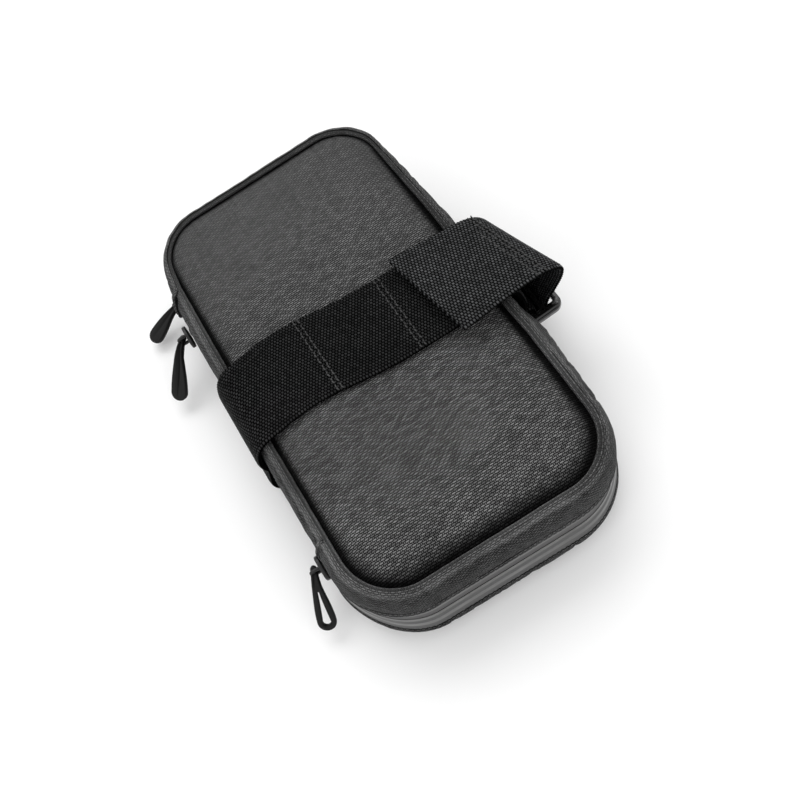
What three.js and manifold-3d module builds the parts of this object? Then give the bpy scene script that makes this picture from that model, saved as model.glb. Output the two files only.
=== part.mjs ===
// Saddle bag: a clamshell pouch of woven nylon with a webbing strap, a hook-and-loop tail
// and three zip sliders.
// Millimetres. +Z up, +Y towards the far end, +X towards the buckle, -X towards the hinge and the zip pulls.
// The origin is the middle of the strap's underside, level with the flat base.
import * as THREE from "three";
import { mergeVertices } from "three/addons/utils/BufferGeometryUtils.js";
import Module from "manifold-3d";

const wasm = await Module();
wasm.setup();

// ---- driving dimensions ----
const PANEL_WIDTH = 84; // between the seams of the top panel
const PANEL_LENGTH = 155;
const PANEL_RADIUS = 17;
const HALF_WIDTH = PANEL_WIDTH / 2;
const HALF_LENGTH = PANEL_LENGTH / 2;
const WALL = 1.6; // padded gusset fabric
const TAPE = 0.8; // zip tape
const GAP = 0.3; // between pieces that touch
const SEAM_HALF = 52; // the hinge panel ends at y = -52 and y = 52
const ZIP_Z = 17; // the line where the two coils meet
const FOLD_Z = 22; // the fold of the hinge panel
const CORNER_STEPS = 6;
const SIDE_STEPS = 14; // stations on each long side, 4 on each short one

const WEBBING = 2;
const WEBBING_WIDTH = 30;
const BASE_OUT = 1.3; // the base sheet's edge, beyond the seam line
const SHEET = 1.2; // base sheet and the cap over the strap's channel
const TAIL_WIDTH = 33; // the tail spreads a little beyond the strap
const STRAP_Y = -2.5; // the strap sits a little nearer than the middle
const BUCKLE_BAR = { x: 52.6, z: 17, radius: 1.2, eye: 1.9 };
const SLOT_HALF = 15.7;
const BUCKLE_TILT = (8 * Math.PI) / 180;
const PULL_THICKNESS = 2.2;
const PIN_OUT = 3.9; // a slider's pin stands this far out from its plate
const PIN_RADIUS = 0.7;
const EYE_REACH = 2.4; // a pull starts to droop this far from the pin
const EDGE = 6; // width of the crowned edge of the top panel, and its height
const EDGE_DROP = 1.6;
const FAR_AWAY = 100; // beyond every piece, for cutting boxes
const deg = THREE.MathUtils.degToRad;

// ---- materials ----
const finish = (color, roughness, metalness = 0) =>
  new THREE.MeshStandardMaterial({ color, roughness, metalness });
const shellFabric = () => finish(0x2b2b2d, 0.62);
const gussetFabric = () => finish(0x232325, 0.8);
const webbingFabric = () => finish(0x141416, 0.7);
const coatedTape = () => finish(0x39393b, 0.42);
const nylonCoil = () => finish(0x0f0f10, 0.45);
const castZinc = () => finish(0x101012, 0.35, 0.6);
const pullRubber = () => finish(0x0c0c0e, 0.5);
const acetal = () => finish(0x0b0b0d, 0.22);
const foam = () => finish(0x3a3a3c, 0.95);
const sheetPlastic = () => finish(0x1d1d20, 0.5);
const liningFabric = () => finish(0x4a4b4f, 0.75);
const meshFabric = () => finish(0x17171a, 0.85);
const hookAndLoop = () => finish(0x101012, 0.95);

// ---- solids and cuts ----
function solidOf(geometry) {
  geometry.deleteAttribute("normal");
  geometry.deleteAttribute("uv");
  const merged = mergeVertices(geometry, 1e-4);
  return new wasm.Manifold(
    new wasm.Mesh({
      numProp: 3,
      vertProperties: new Float32Array(merged.attributes.position.array),
      triVerts: new Uint32Array(merged.index.array),
    }),
  );
}

function geometryOf(solid) {
  const { vertProperties, triVerts } = solid.getMesh();
  const geometry = new THREE.BufferGeometry();
  geometry.setAttribute("position", new THREE.BufferAttribute(vertProperties, 3));
  geometry.setIndex(new THREE.BufferAttribute(triVerts, 1));
  geometry.computeVertexNormals();
  return geometry;
}

function piece(name, solid, material) {
  const mesh = new THREE.Mesh(geometryOf(solid), material);
  mesh.name = name;
  return mesh;
}

function box(x0, x1, y0, y1, z0, z1) {
  const geometry = new THREE.BoxGeometry(x1 - x0, y1 - y0, z1 - z0);
  return solidOf(geometry.translate((x0 + x1) / 2, (y0 + y1) / 2, (z0 + z1) / 2));
}

// ---- flat layers: a rounded rectangle that stands `out` beyond the seam line ----
function panelShape(out) {
  const [a, b, r] = [HALF_WIDTH + out, HALF_LENGTH + out, PANEL_RADIUS + out];
  const shape = new THREE.Shape();
  shape.moveTo(a, -b + r);
  shape.absarc(a - r, b - r, r, 0, Math.PI / 2);
  shape.absarc(-a + r, b - r, r, Math.PI / 2, Math.PI);
  shape.absarc(-a + r, -b + r, r, Math.PI, 1.5 * Math.PI);
  shape.absarc(a - r, -b + r, r, 1.5 * Math.PI, 2 * Math.PI);
  return shape;
}

function layer(out, z0, z1) {
  const depth = z1 - z0;
  const geometry = new THREE.ExtrudeGeometry(panelShape(out), {
    depth,
    bevelEnabled: false,
    curveSegments: CORNER_STEPS,
  });
  return solidOf(geometry.translate(0, 0, z0));
}

// A layer whose top edge rounds over in a band `band` wide and `drop` high.
function crownedLayer(out, z0, z1, band, drop) {
  const geometry = new THREE.ExtrudeGeometry(panelShape(out - band), {
    depth: z1 - z0 - drop,
    bevelThickness: drop,
    bevelSize: band,
    bevelSegments: 3,
    curveSegments: CORNER_STEPS,
  });
  const under = box(-PANEL_WIDTH, PANEL_WIDTH, -PANEL_LENGTH, PANEL_LENGTH, z0 - drop - 1, z0);
  return solidOf(geometry.translate(0, 0, z0)).subtract(under);
}

// ---- the sides' swell: full beside the strap on the buckle side, drawn in round the far end ----
const HINGE_SIDE_SWELL = [[-85, 0], [54, 0], [62, -2.6], [85, -3]];
const BUCKLE_SIDE_SWELL = [
  [-85, 0], [-60, 0.8], [-30, 2.2], [-20.5, 0.4], [-17, 0], [12, 0], [16, 0.3], [27, 0.8],
  [42, -0.9], [60, -2.4], [85, -3],
];

function alongTable(table, y) {
  const next = Math.max(1, table.findIndex(([at]) => y <= at));
  const [[y0, a], [y1, b]] = [table[next - 1], table[next]];
  return THREE.MathUtils.lerp(a, b, (y - y0) / (y1 - y0));
}

// Moves a solid in or out with the swell, which fades to nothing at the base and to a quarter at the top edge.
function swelled(solid) {
  const { smoothstep, lerp, clamp } = THREE.MathUtils;
  const [cx, cy] = [HALF_WIDTH - PANEL_RADIUS, HALF_LENGTH - PANEL_RADIUS];
  return solid.warp((vertex) => {
    const [x, y, z] = vertex;
    const side = smoothstep(x, -cx, cx);
    const limited = clamp(y, -85, 85);
    const amount = lerp(alongTable(HINGE_SIDE_SWELL, limited), alongTable(BUCKLE_SIDE_SWELL, limited), side);
    const share = smoothstep(z, 1, 7) * (1 - 0.75 * smoothstep(z, 29, 35));
    const out = new THREE.Vector2(x - clamp(x, -cx, cx), y - clamp(y, -cy, cy)).normalize();
    vertex[0] += out.x * amount * share;
    vertex[1] += out.y * amount * share;
  });
}

// ---- walls: a section swept round the seam line ----
// The track starts on the hinge side at (-HALF_WIDTH, -yStart) and runs round the near end,
// the buckle side and the far end, back to (-HALF_WIDTH, yEnd).
class PanelTrack extends THREE.Curve {
  constructor(yStart, yEnd) {
    super();
    this.stations = [{ x: -HALF_WIDTH, y: yStart, heading: -Math.PI / 2 }];
    const [cx, cy] = [HALF_WIDTH - PANEL_RADIUS, HALF_LENGTH - PANEL_RADIUS];
    const corners = [[-cx, -cy, Math.PI], [cx, -cy, 1.5 * Math.PI], [cx, cy, 0], [-cx, cy, Math.PI / 2]];
    const runs = [4, SIDE_STEPS, 4, 0]; // stations on the straight run after each corner
    corners.forEach(([x, y, from], corner) => {
      const heading = from + Math.PI;
      for (let i = 0; i <= CORNER_STEPS; i++) {
        const angle = from + ((Math.PI / 2) * i) / CORNER_STEPS;
        this.stations.push({
          x: x + PANEL_RADIUS * Math.cos(angle),
          y: y + PANEL_RADIUS * Math.sin(angle),
          heading: angle + Math.PI / 2,
        });
      }
      const run = corner % 2 ? 2 * cy : 2 * cx;
      const last = this.stations.at(-1);
      for (let i = 1; i < runs[corner]; i++)
        this.stations.push({
          x: last.x + Math.cos(heading) * (run * i) / runs[corner],
          y: last.y + Math.sin(heading) * (run * i) / runs[corner],
          heading,
        });
    });
    this.stations.push({ x: -HALF_WIDTH, y: yEnd, heading: 1.5 * Math.PI });
  }
  get steps() {
    return this.stations.length - 1;
  }
  stationAt(t) {
    return this.stations[Math.round(t * this.steps)];
  }
  getPoint(t) {
    const { x, y } = this.stationAt(t);
    return new THREE.Vector3(x, y, 0);
  }
  getPointAt(t) {
    return this.getPoint(t);
  }
  getTangentAt(t) {
    const { heading } = this.stationAt(t);
    return new THREE.Vector3(Math.cos(heading), Math.sin(heading), 0);
  }
}

// section: [out, z] points of the wall's cross-section, anticlockwise.
function wall(section, yStart = -SEAM_HALF - GAP, yEnd = SEAM_HALF + GAP) {
  const track = new PanelTrack(yStart, yEnd);
  // Along the track the swept shape's x axis points down and its y axis points inwards.
  const shape = new THREE.Shape(section.map(([out, z]) => new THREE.Vector2(-z, -out)));
  const geometry = new THREE.ExtrudeGeometry(shape, { steps: track.steps, extrudePath: track });
  return swelled(solidOf(geometry));
}

// A full ring is two overlapping runs joined into one.
function ring(section) {
  const run = wall(section, 0, 1);
  const closer = straight(section, -1, 2);
  return run.add(closer);
}

// The same section run straight along the hinge side from y0 to y1.
function straight(section, y0, y1) {
  const shape = new THREE.Shape(section.map(([out, z]) => new THREE.Vector2(-HALF_WIDTH - out, z)));
  const geometry = new THREE.ExtrudeGeometry(shape, { depth: y1 - y0, bevelEnabled: false });
  return solidOf(geometry.rotateX(Math.PI / 2).translate(0, y1, 0));
}

// A wall section from its outer line, top to bottom, made `thick` wide inwards.
function sectionFrom(outer, thick) {
  const inner = outer.map(([out, z]) => [out - thick, z]).reverse();
  return [...outer, ...inner];
}

const UPPER_LINE = [[3.4, 34.4], [5.4, 31.5], [6.4, 28], [6.3, 25], [5.9, FOLD_Z + GAP / 2]];
const UPPER_TAPE_LINE = [[5.9, FOLD_Z - GAP / 2], [6.6, ZIP_Z + GAP / 2]];
const LOWER_TAPE_LINE = [[6.7, ZIP_Z - GAP / 2], [7.4, 12.3]];
const LOWER_LINE = [[7.4, 12], [7.5, 9], [7.2, 5.5], [6.4, 3], [4.8, 1], [3.3, 0]];
const HINGE_LOWER_LINE = [[5.9, FOLD_Z - GAP / 2], [6.7, ZIP_Z], ...LOWER_LINE];
const LOWER_COIL = [[5.6, 15.6], [5.6, 16.7], [4.5, 16.7], [4.5, 15.6]];
const UPPER_COIL = [[5.5, 17.3], [5.5, 18.4], [4.4, 18.4], [4.4, 17.3]];
const EDGE_ROLL = { out: 2.4, z: 36.4, radius: 1.6, sides: 8 };

// ---- webbing: a centre line in the XZ plane with the strap's thickness and width ----
function webbing(points, thickness = WEBBING, width = WEBBING_WIDTH, samples = 3) {
  const line = new THREE.SplineCurve(points.map(([x, z]) => new THREE.Vector2(x, z)));
  const count = (points.length - 1) * samples;
  const left = [];
  const right = [];
  for (let i = 0; i <= count; i++) {
    const centre = line.getPoint(i / count);
    centre.y = Math.max(centre.y, WEBBING / 2); // nothing sinks below the base
    const along = line.getTangent(i / count);
    const across = new THREE.Vector2(-along.y, along.x).multiplyScalar(thickness / 2);
    left.push(centre.clone().add(across));
    right.push(centre.clone().sub(across));
  }
  return extrudeAcross(new THREE.Shape([...left, ...right.reverse()]), width);
}

// Extrudes a shape drawn in XZ to `width` along Y, centred on the strap.
function extrudeAcross(shape, width) {
  const geometry = new THREE.ExtrudeGeometry(shape, { depth: width, bevelEnabled: false, curveSegments: 12 });
  return solidOf(geometry.rotateX(Math.PI / 2).translate(0, STRAP_Y + width / 2, 0));
}

const LEFT_SIDE = [[-49.2, 21.7], [-50.1, 16.8], [-50.9, 12], [-50.9, 7], [-49.3, 3], [-45.5, 1], [-40, 1]];
const RIGHT_SIDE = [[40, 1], [46, 1.1], [51, 2.2], [55.5, 4.4], [58.8, 7.6], [60.2, 11.2]];
const LOWER_RUN = [...LEFT_SIDE, [-20, 1], [0, 1], [20, 1], ...RIGHT_SIDE];
const TOP_RUN = [
  [-49.2, 22.4], [-49.5, 25.5], [-49.6, 28.5], [-49.0, 32.5], [-47.7, 36.2], [-45.4, 39], [-41.5, 40],
  [-25, 40], [0, 40], [25, 40], [41, 40], [45.8, 39], [48.6, 36], [50.4, 31], [51.6, 26], [51.3, 21.5],
  [50.4, 18.4],
];
const TAIL_LEG = [[60.2, 11.9], [60.2, 18], [60.3, 24], [60.8, 30], [61, 34.2]];
const TAIL = [[61, 34.9], [61, 37.2], [59.6, 39.8], [55, 42.3], [49, 43.8], [42, 44.5], [32, 44.5], [22, 44.5]];

// ---- tray: the lower half, which lies on the base ----
function bottomPanel() {
  const channelHalf = WEBBING_WIDTH / 2 + 0.4;
  const [y0, y1] = [STRAP_Y - channelHalf, STRAP_Y + channelHalf];
  const top = WEBBING + GAP + SHEET;
  const across = (from, to) => box(-FAR_AWAY, FAR_AWAY, from, to, 0, top);
  const bridge = layer(BASE_OUT, WEBBING + GAP, top).intersect(across(y0 - SHEET, y1 + SHEET));
  const sheet = layer(BASE_OUT, 0, SHEET).subtract(across(y0, y1));
  const sides = layer(BASE_OUT, 0, top).intersect(across(y0 - SHEET, y0).add(across(y1, y1 + SHEET)));
  return piece("bottom_panel", sheet.add(bridge).add(sides), shellFabric());
}

function tray() {
  const strapRoom = webbing(LOWER_RUN, WEBBING + 2 * GAP, WEBBING_WIDTH + 0.8);
  const bridgeHalf = WEBBING_WIDTH / 2 + SHEET + 1;
  const bridgeRoom = box(
    -FAR_AWAY, FAR_AWAY, STRAP_Y - bridgeHalf, STRAP_Y + bridgeHalf, 0, WEBBING + SHEET + 2 * GAP,
  );
  const pocketSlot = pocketZip(-GAP, WALL);
  const foamPad = layer(BASE_OUT, SHEET + GAP, 4.5).subtract(bridgeRoom);
  const pan = layer(1.9, 6.1, 15.4).subtract(layer(1.3, 6.7, FOLD_Z));
  const group = new THREE.Group();
  group.add(
    bottomPanel(),
    piece("bottom_foam", foamPad, foam()),
    piece("bottom_stiffener", layer(2.4, 4.8, 5.8), sheetPlastic()),
    piece("tray_lining", pan, liningFabric()),
    piece(
      "lower_gusset",
      wall(sectionFrom(LOWER_LINE, WALL)).subtract(strapRoom).subtract(pocketSlot),
      gussetFabric(),
    ),
    piece("lower_zip_tape", wall(sectionFrom(LOWER_TAPE_LINE, TAPE)), coatedTape()),
    piece("lower_zip_coil", wall(LOWER_COIL), nylonCoil()),
    piece(
      "hinge_panel_lower",
      straight(sectionFrom(HINGE_LOWER_LINE, WALL), -SEAM_HALF, SEAM_HALF).subtract(strapRoom),
      gussetFabric(),
    ),
    piece("pocket_zip_tape", pocketZip(0, 0), coatedTape()),
    piece("strap_lower_run", webbing(LOWER_RUN), webbingFabric()),
  );
  return group;
}

// The slim base pocket's zip: it turns the far corner on the hinge side and crosses the far end.
// `grow` widens it all round, and `deep` thickens it inwards, to cut its slot in the gusset.
function pocketZip(grow, deep) {
  const section = [
    [7.5 - grow, 9.6 - grow], [5.9 - deep, 9.6 - grow], [5.9 - deep, 5.6 + grow], [7.2 - grow, 5.6 + grow],
  ];
  const span = box(-FAR_AWAY, 30 - grow, 62 + grow, FAR_AWAY, 0, ZIP_Z);
  return wall(section).intersect(span);
}

// ---- lid: the upper half, which turns about the fold of the hinge panel ----
function lid() {
  const panel = crownedLayer(-GAP, 35.2, 38.6, EDGE, EDGE_DROP)
    .subtract(crownedLayer(-GAP - SHEET, 30, 37.5, EDGE, EDGE_DROP));
  const roll = Array.from({ length: EDGE_ROLL.sides }, (_, i) => {
    const { out, z, radius, sides } = EDGE_ROLL;
    const angle = (i * 2 * Math.PI) / sides;
    return [out + radius * Math.cos(angle), z + radius * Math.sin(angle)];
  });
  const liner = layer(0.9, FOLD_Z + 1, 31.6).subtract(layer(0.3, ZIP_Z, 31));
  const group = new THREE.Group();
  group.add(
    piece("top_panel", panel, shellFabric()),
    piece("top_foam", crownedLayer(-1.8, 33.4, 37.2, EDGE, EDGE_DROP), foam()),
    piece("top_stiffener", layer(0.6, 31.9, 33.1), sheetPlastic()),
    piece("lid_lining", liner, liningFabric()),
    piece("top_edge_roll", ring(roll), gussetFabric()),
    piece("upper_gusset", wall(sectionFrom(UPPER_LINE, WALL)), gussetFabric()),
    piece("upper_zip_tape", wall(sectionFrom(UPPER_TAPE_LINE, TAPE)), coatedTape()),
    piece("upper_zip_coil", wall(UPPER_COIL), nylonCoil()),
    piece(
      "hinge_panel_upper",
      straight(sectionFrom(UPPER_LINE, WALL), -SEAM_HALF, SEAM_HALF),
      gussetFabric(),
    ),
    ...lidPocket(),
    strapTopRun(),
    piece("strap_tail_leg", webbing(TAIL_LEG), webbingFabric()),
    piece("strap_loop_patch", gripPatch(41.3), hookAndLoop()),
  );
  return group;
}

// Hook or loop tape, between the strap and its tail.
function gripPatch(z) {
  return box(28, 40, STRAP_Y - 13, STRAP_Y + 13, z, z + 0.8);
}

// A flat mesh pocket under the lid, bound with elastic along its open edge.
function lidPocket() {
  const sheet = layer(-1, 29.9, 30.5).intersect(box(-FAR_AWAY, FAR_AWAY, -FAR_AWAY, 30 - GAP, 0, FAR_AWAY));
  const binding = box(-40, 40, 30, 37, 29.6, 30.7);
  return [
    piece("lid_mesh_pocket", sheet, meshFabric()),
    piece("lid_pocket_elastic", binding, webbingFabric()),
  ];
}

// The sewn length of the strap, with the eye at its end that holds the buckle's bar.
function strapTopRun() {
  const { x, z, eye: inside } = BUCKLE_BAR;
  const eye = new THREE.Shape().absarc(x, z, inside + 1.5, 0, 2 * Math.PI);
  const room = new THREE.Shape().absarc(x, z, inside, 0, 2 * Math.PI);
  const run = webbing(TOP_RUN).add(extrudeAcross(eye, WEBBING_WIDTH));
  const bored = run.subtract(extrudeAcross(room, WEBBING_WIDTH + 2));
  return piece("strap_top_run", bored, webbingFabric());
}

// ---- strap tail: the free end that folds back over the top and grips by hook and loop ----
function tail() {
  const group = new THREE.Group();
  group.add(
    piece("strap_tail", webbing(TAIL, WEBBING, TAIL_WIDTH), webbingFabric()),
    piece("tail_hook_patch", gripPatch(42.4), hookAndLoop()),
  );
  return group;
}

// ---- buckle: a moulded frame with two slots, hung by its inner bar ----
function buckle() {
  const bevel = 0.4;
  const [length, railRadius] = [39, 3];
  const bar = BUCKLE_BAR.radius;
  const [x0, x1] = [-bar + bevel, 11.6 - bevel];
  const half = length / 2 - bevel;
  const frame = new THREE.Shape();
  frame.moveTo(x0, -half);
  frame.absarc(x1 - railRadius, -half + railRadius, railRadius, -Math.PI / 2, 0);
  frame.absarc(x1 - railRadius, half - railRadius, railRadius, 0, Math.PI / 2);
  frame.lineTo(x0, half);
  const geometry = new THREE.ExtrudeGeometry(frame, {
    depth: 2 * (bar - bevel),
    bevelThickness: bevel,
    bevelSize: bevel,
    bevelSegments: 2,
    curveSegments: CORNER_STEPS,
  });
  const solid = solidOf(geometry.translate(0, 0, bevel - bar))
    .subtract(box(bar - 0.2, 4, -SLOT_HALF, SLOT_HALF, -5, 5))
    .subtract(box(6, 9.4, -SLOT_HALF, SLOT_HALF, -5, 5));
  const body = piece("buckle_frame", solid, acetal());
  body.position.set(BUCKLE_BAR.x, STRAP_Y, BUCKLE_BAR.z);
  body.rotation.y = -BUCKLE_TILT;
  return body;
}

// ---- zip sliders and pulls ----
// A slider's own frame: x points away from the tape, y along the zip, z up. The pin that holds the pull
// stands PIN_OUT away from the plate's back.
function slider(name) {
  const outline = new THREE.Shape();
  outline.moveTo(-4.2, -1.6);
  outline.lineTo(-2.6, -3.2);
  outline.lineTo(2.6, -2.6);
  outline.lineTo(4.2, -1.4);
  outline.lineTo(4.2, 1.4);
  outline.lineTo(2.6, 2.6);
  outline.lineTo(-2.6, 3.2);
  outline.lineTo(-4.2, 1.6);
  const plate = new THREE.ExtrudeGeometry(outline, {
    depth: 0.8,
    bevelThickness: 0.5,
    bevelSize: 0.4,
    bevelSegments: 2,
  });
  // The outline's x runs along the zip and its y up, so it is turned to face outwards.
  plate.translate(0, 0, 0.5).rotateX(Math.PI / 2).rotateZ(Math.PI / 2);
  const pin = new THREE.CylinderGeometry(PIN_RADIUS, PIN_RADIUS, 4, 16).rotateX(Math.PI / 2);
  const solid = solidOf(plate)
    .add(box(1, PIN_OUT + 1, -1.2, 1.2, 1.5, 2.4))
    .add(box(1, PIN_OUT + 1, -1.2, 1.2, -2.4, -1.5))
    .add(solidOf(pin.translate(PIN_OUT, 0, 0)));
  return piece(name, solid, castZinc());
}

// A pull's own frame: the pin's axis is z, and the tongue runs along x and droops by `droop`.
function pull(name, length, droop, slit) {
  const [neck, belly] = [1.1, 3.2];
  const outline = new THREE.Shape();
  outline.moveTo(0, neck);
  outline.bezierCurveTo(length * 0.4, neck, length * 0.5, belly, length - belly, belly);
  outline.absarc(length - belly, 0, belly, Math.PI / 2, -Math.PI / 2, true);
  outline.bezierCurveTo(length * 0.5, -belly, length * 0.4, -neck, 0, -neck);
  const tongue = new THREE.ExtrudeGeometry(outline, {
    depth: PULL_THICKNESS - 0.8,
    bevelThickness: 0.4,
    bevelSize: 0.3,
    bevelSegments: 1,
    curveSegments: 8,
  });
  tongue.translate(0, 0, 0.4 - PULL_THICKNESS / 2).rotateY(droop).translate(EYE_REACH, 0, 0);
  const half = PULL_THICKNESS / 2;
  const eye = new THREE.CylinderGeometry(1.8, 1.8, PULL_THICKNESS, 20).rotateX(Math.PI / 2);
  const hole = new THREE.CylinderGeometry(1.1, 1.1, 9, 20).rotateX(Math.PI / 2);
  const neckBlock = box(0, EYE_REACH + 0.8, -neck, neck, -half, half);
  const solid = solidOf(eye).add(neckBlock).add(solidOf(tongue)).subtract(solidOf(hole));
  return piece(name, slit ? solid.subtract(pullSlit(length, belly, droop)) : solid, pullRubber());
}

// The long tapered opening in a looped pull.
function pullSlit(length, belly, droop) {
  const radius = 1.3;
  const outline = new THREE.Shape();
  outline.moveTo(length * 0.42, 0);
  outline.absarc(length - belly, 0, radius, -Math.PI / 2, Math.PI / 2);
  const cutter = new THREE.ExtrudeGeometry(outline, { depth: 6, bevelEnabled: false, curveSegments: 8 });
  return solidOf(cutter.translate(0, 0, -3).rotateY(droop).translate(EYE_REACH, 0, 0));
}

// Places a slider at (x, y, z) facing `facing`, and its pull on the slider's pin, pointing to `heading`.
function zipEnd(prefix, { x, y, z, facing, heading, length, droop, slit }) {
  const at = new THREE.Group();
  at.position.set(x, y, z);
  const turned = slider(`${prefix}_slider`);
  turned.rotation.z = facing;
  const tongue = pull(`${prefix}_pull`, length, droop, slit);
  tongue.position.set(PIN_OUT * Math.cos(facing), PIN_OUT * Math.sin(facing), 0);
  tongue.rotation.z = heading;
  at.add(turned, tongue);
  return at;
}

const PLATE_X = -HALF_WIDTH - 7.8;
const POCKET_ANGLE = deg(160);
const POCKET_RADIUS = PANEL_RADIUS + 5.4; // the far corner is drawn in here

const bag = new THREE.Group();
bag.add(
  tray(),
  lid(),
  tail(),
  buckle(),
  zipEnd("near", {
    x: PLATE_X, y: -54, z: ZIP_Z, facing: Math.PI, heading: deg(249), length: 21, droop: deg(39), slit: true,
  }),
  zipEnd("far", {
    x: PLATE_X, y: 48, z: ZIP_Z, facing: Math.PI, heading: deg(226), length: 23, droop: deg(37), slit: false,
  }),
  zipEnd("pocket", {
    x: -HALF_WIDTH + PANEL_RADIUS + POCKET_RADIUS * Math.cos(POCKET_ANGLE),
    y: HALF_LENGTH - PANEL_RADIUS + POCKET_RADIUS * Math.sin(POCKET_ANGLE),
    z: 7.6, facing: POCKET_ANGLE, heading: deg(199), length: 17, droop: deg(17), slit: false,
  }),
);

export default bag;
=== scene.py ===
import math

import bmesh
import bpy
import numpy as np
from mathutils import Matrix, Vector, noise


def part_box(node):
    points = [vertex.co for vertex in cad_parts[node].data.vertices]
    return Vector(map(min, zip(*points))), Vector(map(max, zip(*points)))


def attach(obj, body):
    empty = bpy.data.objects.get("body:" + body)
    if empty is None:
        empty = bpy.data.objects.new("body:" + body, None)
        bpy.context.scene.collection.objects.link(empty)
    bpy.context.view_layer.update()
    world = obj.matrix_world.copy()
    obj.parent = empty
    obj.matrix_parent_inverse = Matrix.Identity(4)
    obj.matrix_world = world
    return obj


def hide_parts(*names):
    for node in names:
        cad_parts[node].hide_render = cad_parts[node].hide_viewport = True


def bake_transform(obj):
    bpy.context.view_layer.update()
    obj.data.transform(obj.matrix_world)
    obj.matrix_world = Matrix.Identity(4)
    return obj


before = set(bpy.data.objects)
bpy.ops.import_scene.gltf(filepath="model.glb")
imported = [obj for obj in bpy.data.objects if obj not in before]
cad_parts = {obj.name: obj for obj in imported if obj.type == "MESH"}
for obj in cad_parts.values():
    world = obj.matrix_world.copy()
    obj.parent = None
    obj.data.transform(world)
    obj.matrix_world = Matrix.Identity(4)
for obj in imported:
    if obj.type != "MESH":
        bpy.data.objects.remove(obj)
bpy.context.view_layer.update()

SCENE = bpy.context.scene

# ---- sizes: millimetres, turned to metres where a mesh is made ----
MM = 0.001
PANEL_LOW, PANEL_HIGH = (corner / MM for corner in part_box("top_panel"))
SEAM_INSET = 0.3  # the panel stops this far inside its seam
HALF_WIDTH = PANEL_HIGH.x + SEAM_INSET
HALF_LENGTH = PANEL_HIGH.y + SEAM_INSET
CORNER = 17.0
SEAM_HALF = 52.0  # the hinge panel's two upright seams
ZIP_Z = 17.0
STRAP_Y = -2.5
STRAP_WIDTH = 30.0
STRAP_TOP_Z = 40.0
RIB_PITCH = 1.1  # webbing: one float along, one yarn across
YARN_PITCH = 0.95
TRACK_STEP = 1.2  # between stations round the seam
COIL_PITCH = 1.15


# ---- camera ----
def studio_camera():
    place = Vector((-26.05, -124.03, 269.93)) * MM
    heading, tilt, roll = (math.radians(a) for a in (-2.035, 67.577, -34.007))
    ahead = Vector((math.sin(heading) * math.cos(tilt), math.cos(heading) * math.cos(tilt), -math.sin(tilt)))
    level = Vector((math.cos(heading), -math.sin(heading), 0))
    above = level.cross(ahead)
    right = level * math.cos(roll) + above * math.sin(roll)
    up = right.cross(ahead)
    lens = bpy.data.cameras.new("studio_camera")
    lens.sensor_width = 36.0
    lens.lens = 36.27
    lens.shift_x, lens.shift_y = 0.0933, 0.063
    lens.clip_start = 0.01
    camera = bpy.data.objects.new("studio_camera", lens)
    camera.matrix_world = Matrix.Translation(place) @ Matrix((right, up, -ahead)).transposed().to_4x4()
    SCENE.collection.objects.link(camera)
    SCENE.camera = camera


studio_camera()


# ---- node trees ----
class Tree:
    """Adds nodes to a shader or geometry tree and links their inputs."""

    def __init__(self, tree):
        self.tree = tree

    def add(self, kind, inputs=None, **settings):
        node = self.tree.nodes.new(kind)
        for name, value in settings.items():
            setattr(node, name, value)
        for key, value in (inputs or {}).items():
            self.feed(node.inputs[key], value)
        return node

    def feed(self, socket, value):
        if isinstance(value, bpy.types.NodeSocket):
            self.tree.links.new(value, socket)
        else:
            socket.default_value = value

    def math(self, operation, a, b=0.0, clamp=False):
        return self.add("ShaderNodeMath", {0: a, 1: b}, operation=operation, use_clamp=clamp).outputs[0]

    def mix(self, factor, a, b):
        """A mix of two colours, which the node takes on its sockets 6 and 7."""
        node = self.add("ShaderNodeMix", {0: factor, 6: a, 7: b}, data_type="RGBA")
        return node.outputs[2]

    def ramp(self, value, low, high, to_low=0.0, to_high=1.0):
        node = self.add("ShaderNodeMapRange", {0: value, 1: low, 2: high, 3: to_low, 4: to_high})
        return node.outputs[0]


def effect_group(name, inputs, outputs):
    """A shader node group with float or vector inputs and float outputs."""
    tree = bpy.data.node_groups.new(name, "ShaderNodeTree")
    for label, value in inputs:
        kind = "NodeSocketVector" if value is None else "NodeSocketFloat"
        socket = tree.interface.new_socket(label, in_out="INPUT", socket_type=kind)
        if value is not None:
            socket.default_value = value
    for label in outputs:
        tree.interface.new_socket(label, in_out="OUTPUT", socket_type="NodeSocketFloat")
    maker = Tree(tree)
    return maker, maker.add("NodeGroupInput").outputs, maker.add("NodeGroupOutput").inputs


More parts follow.
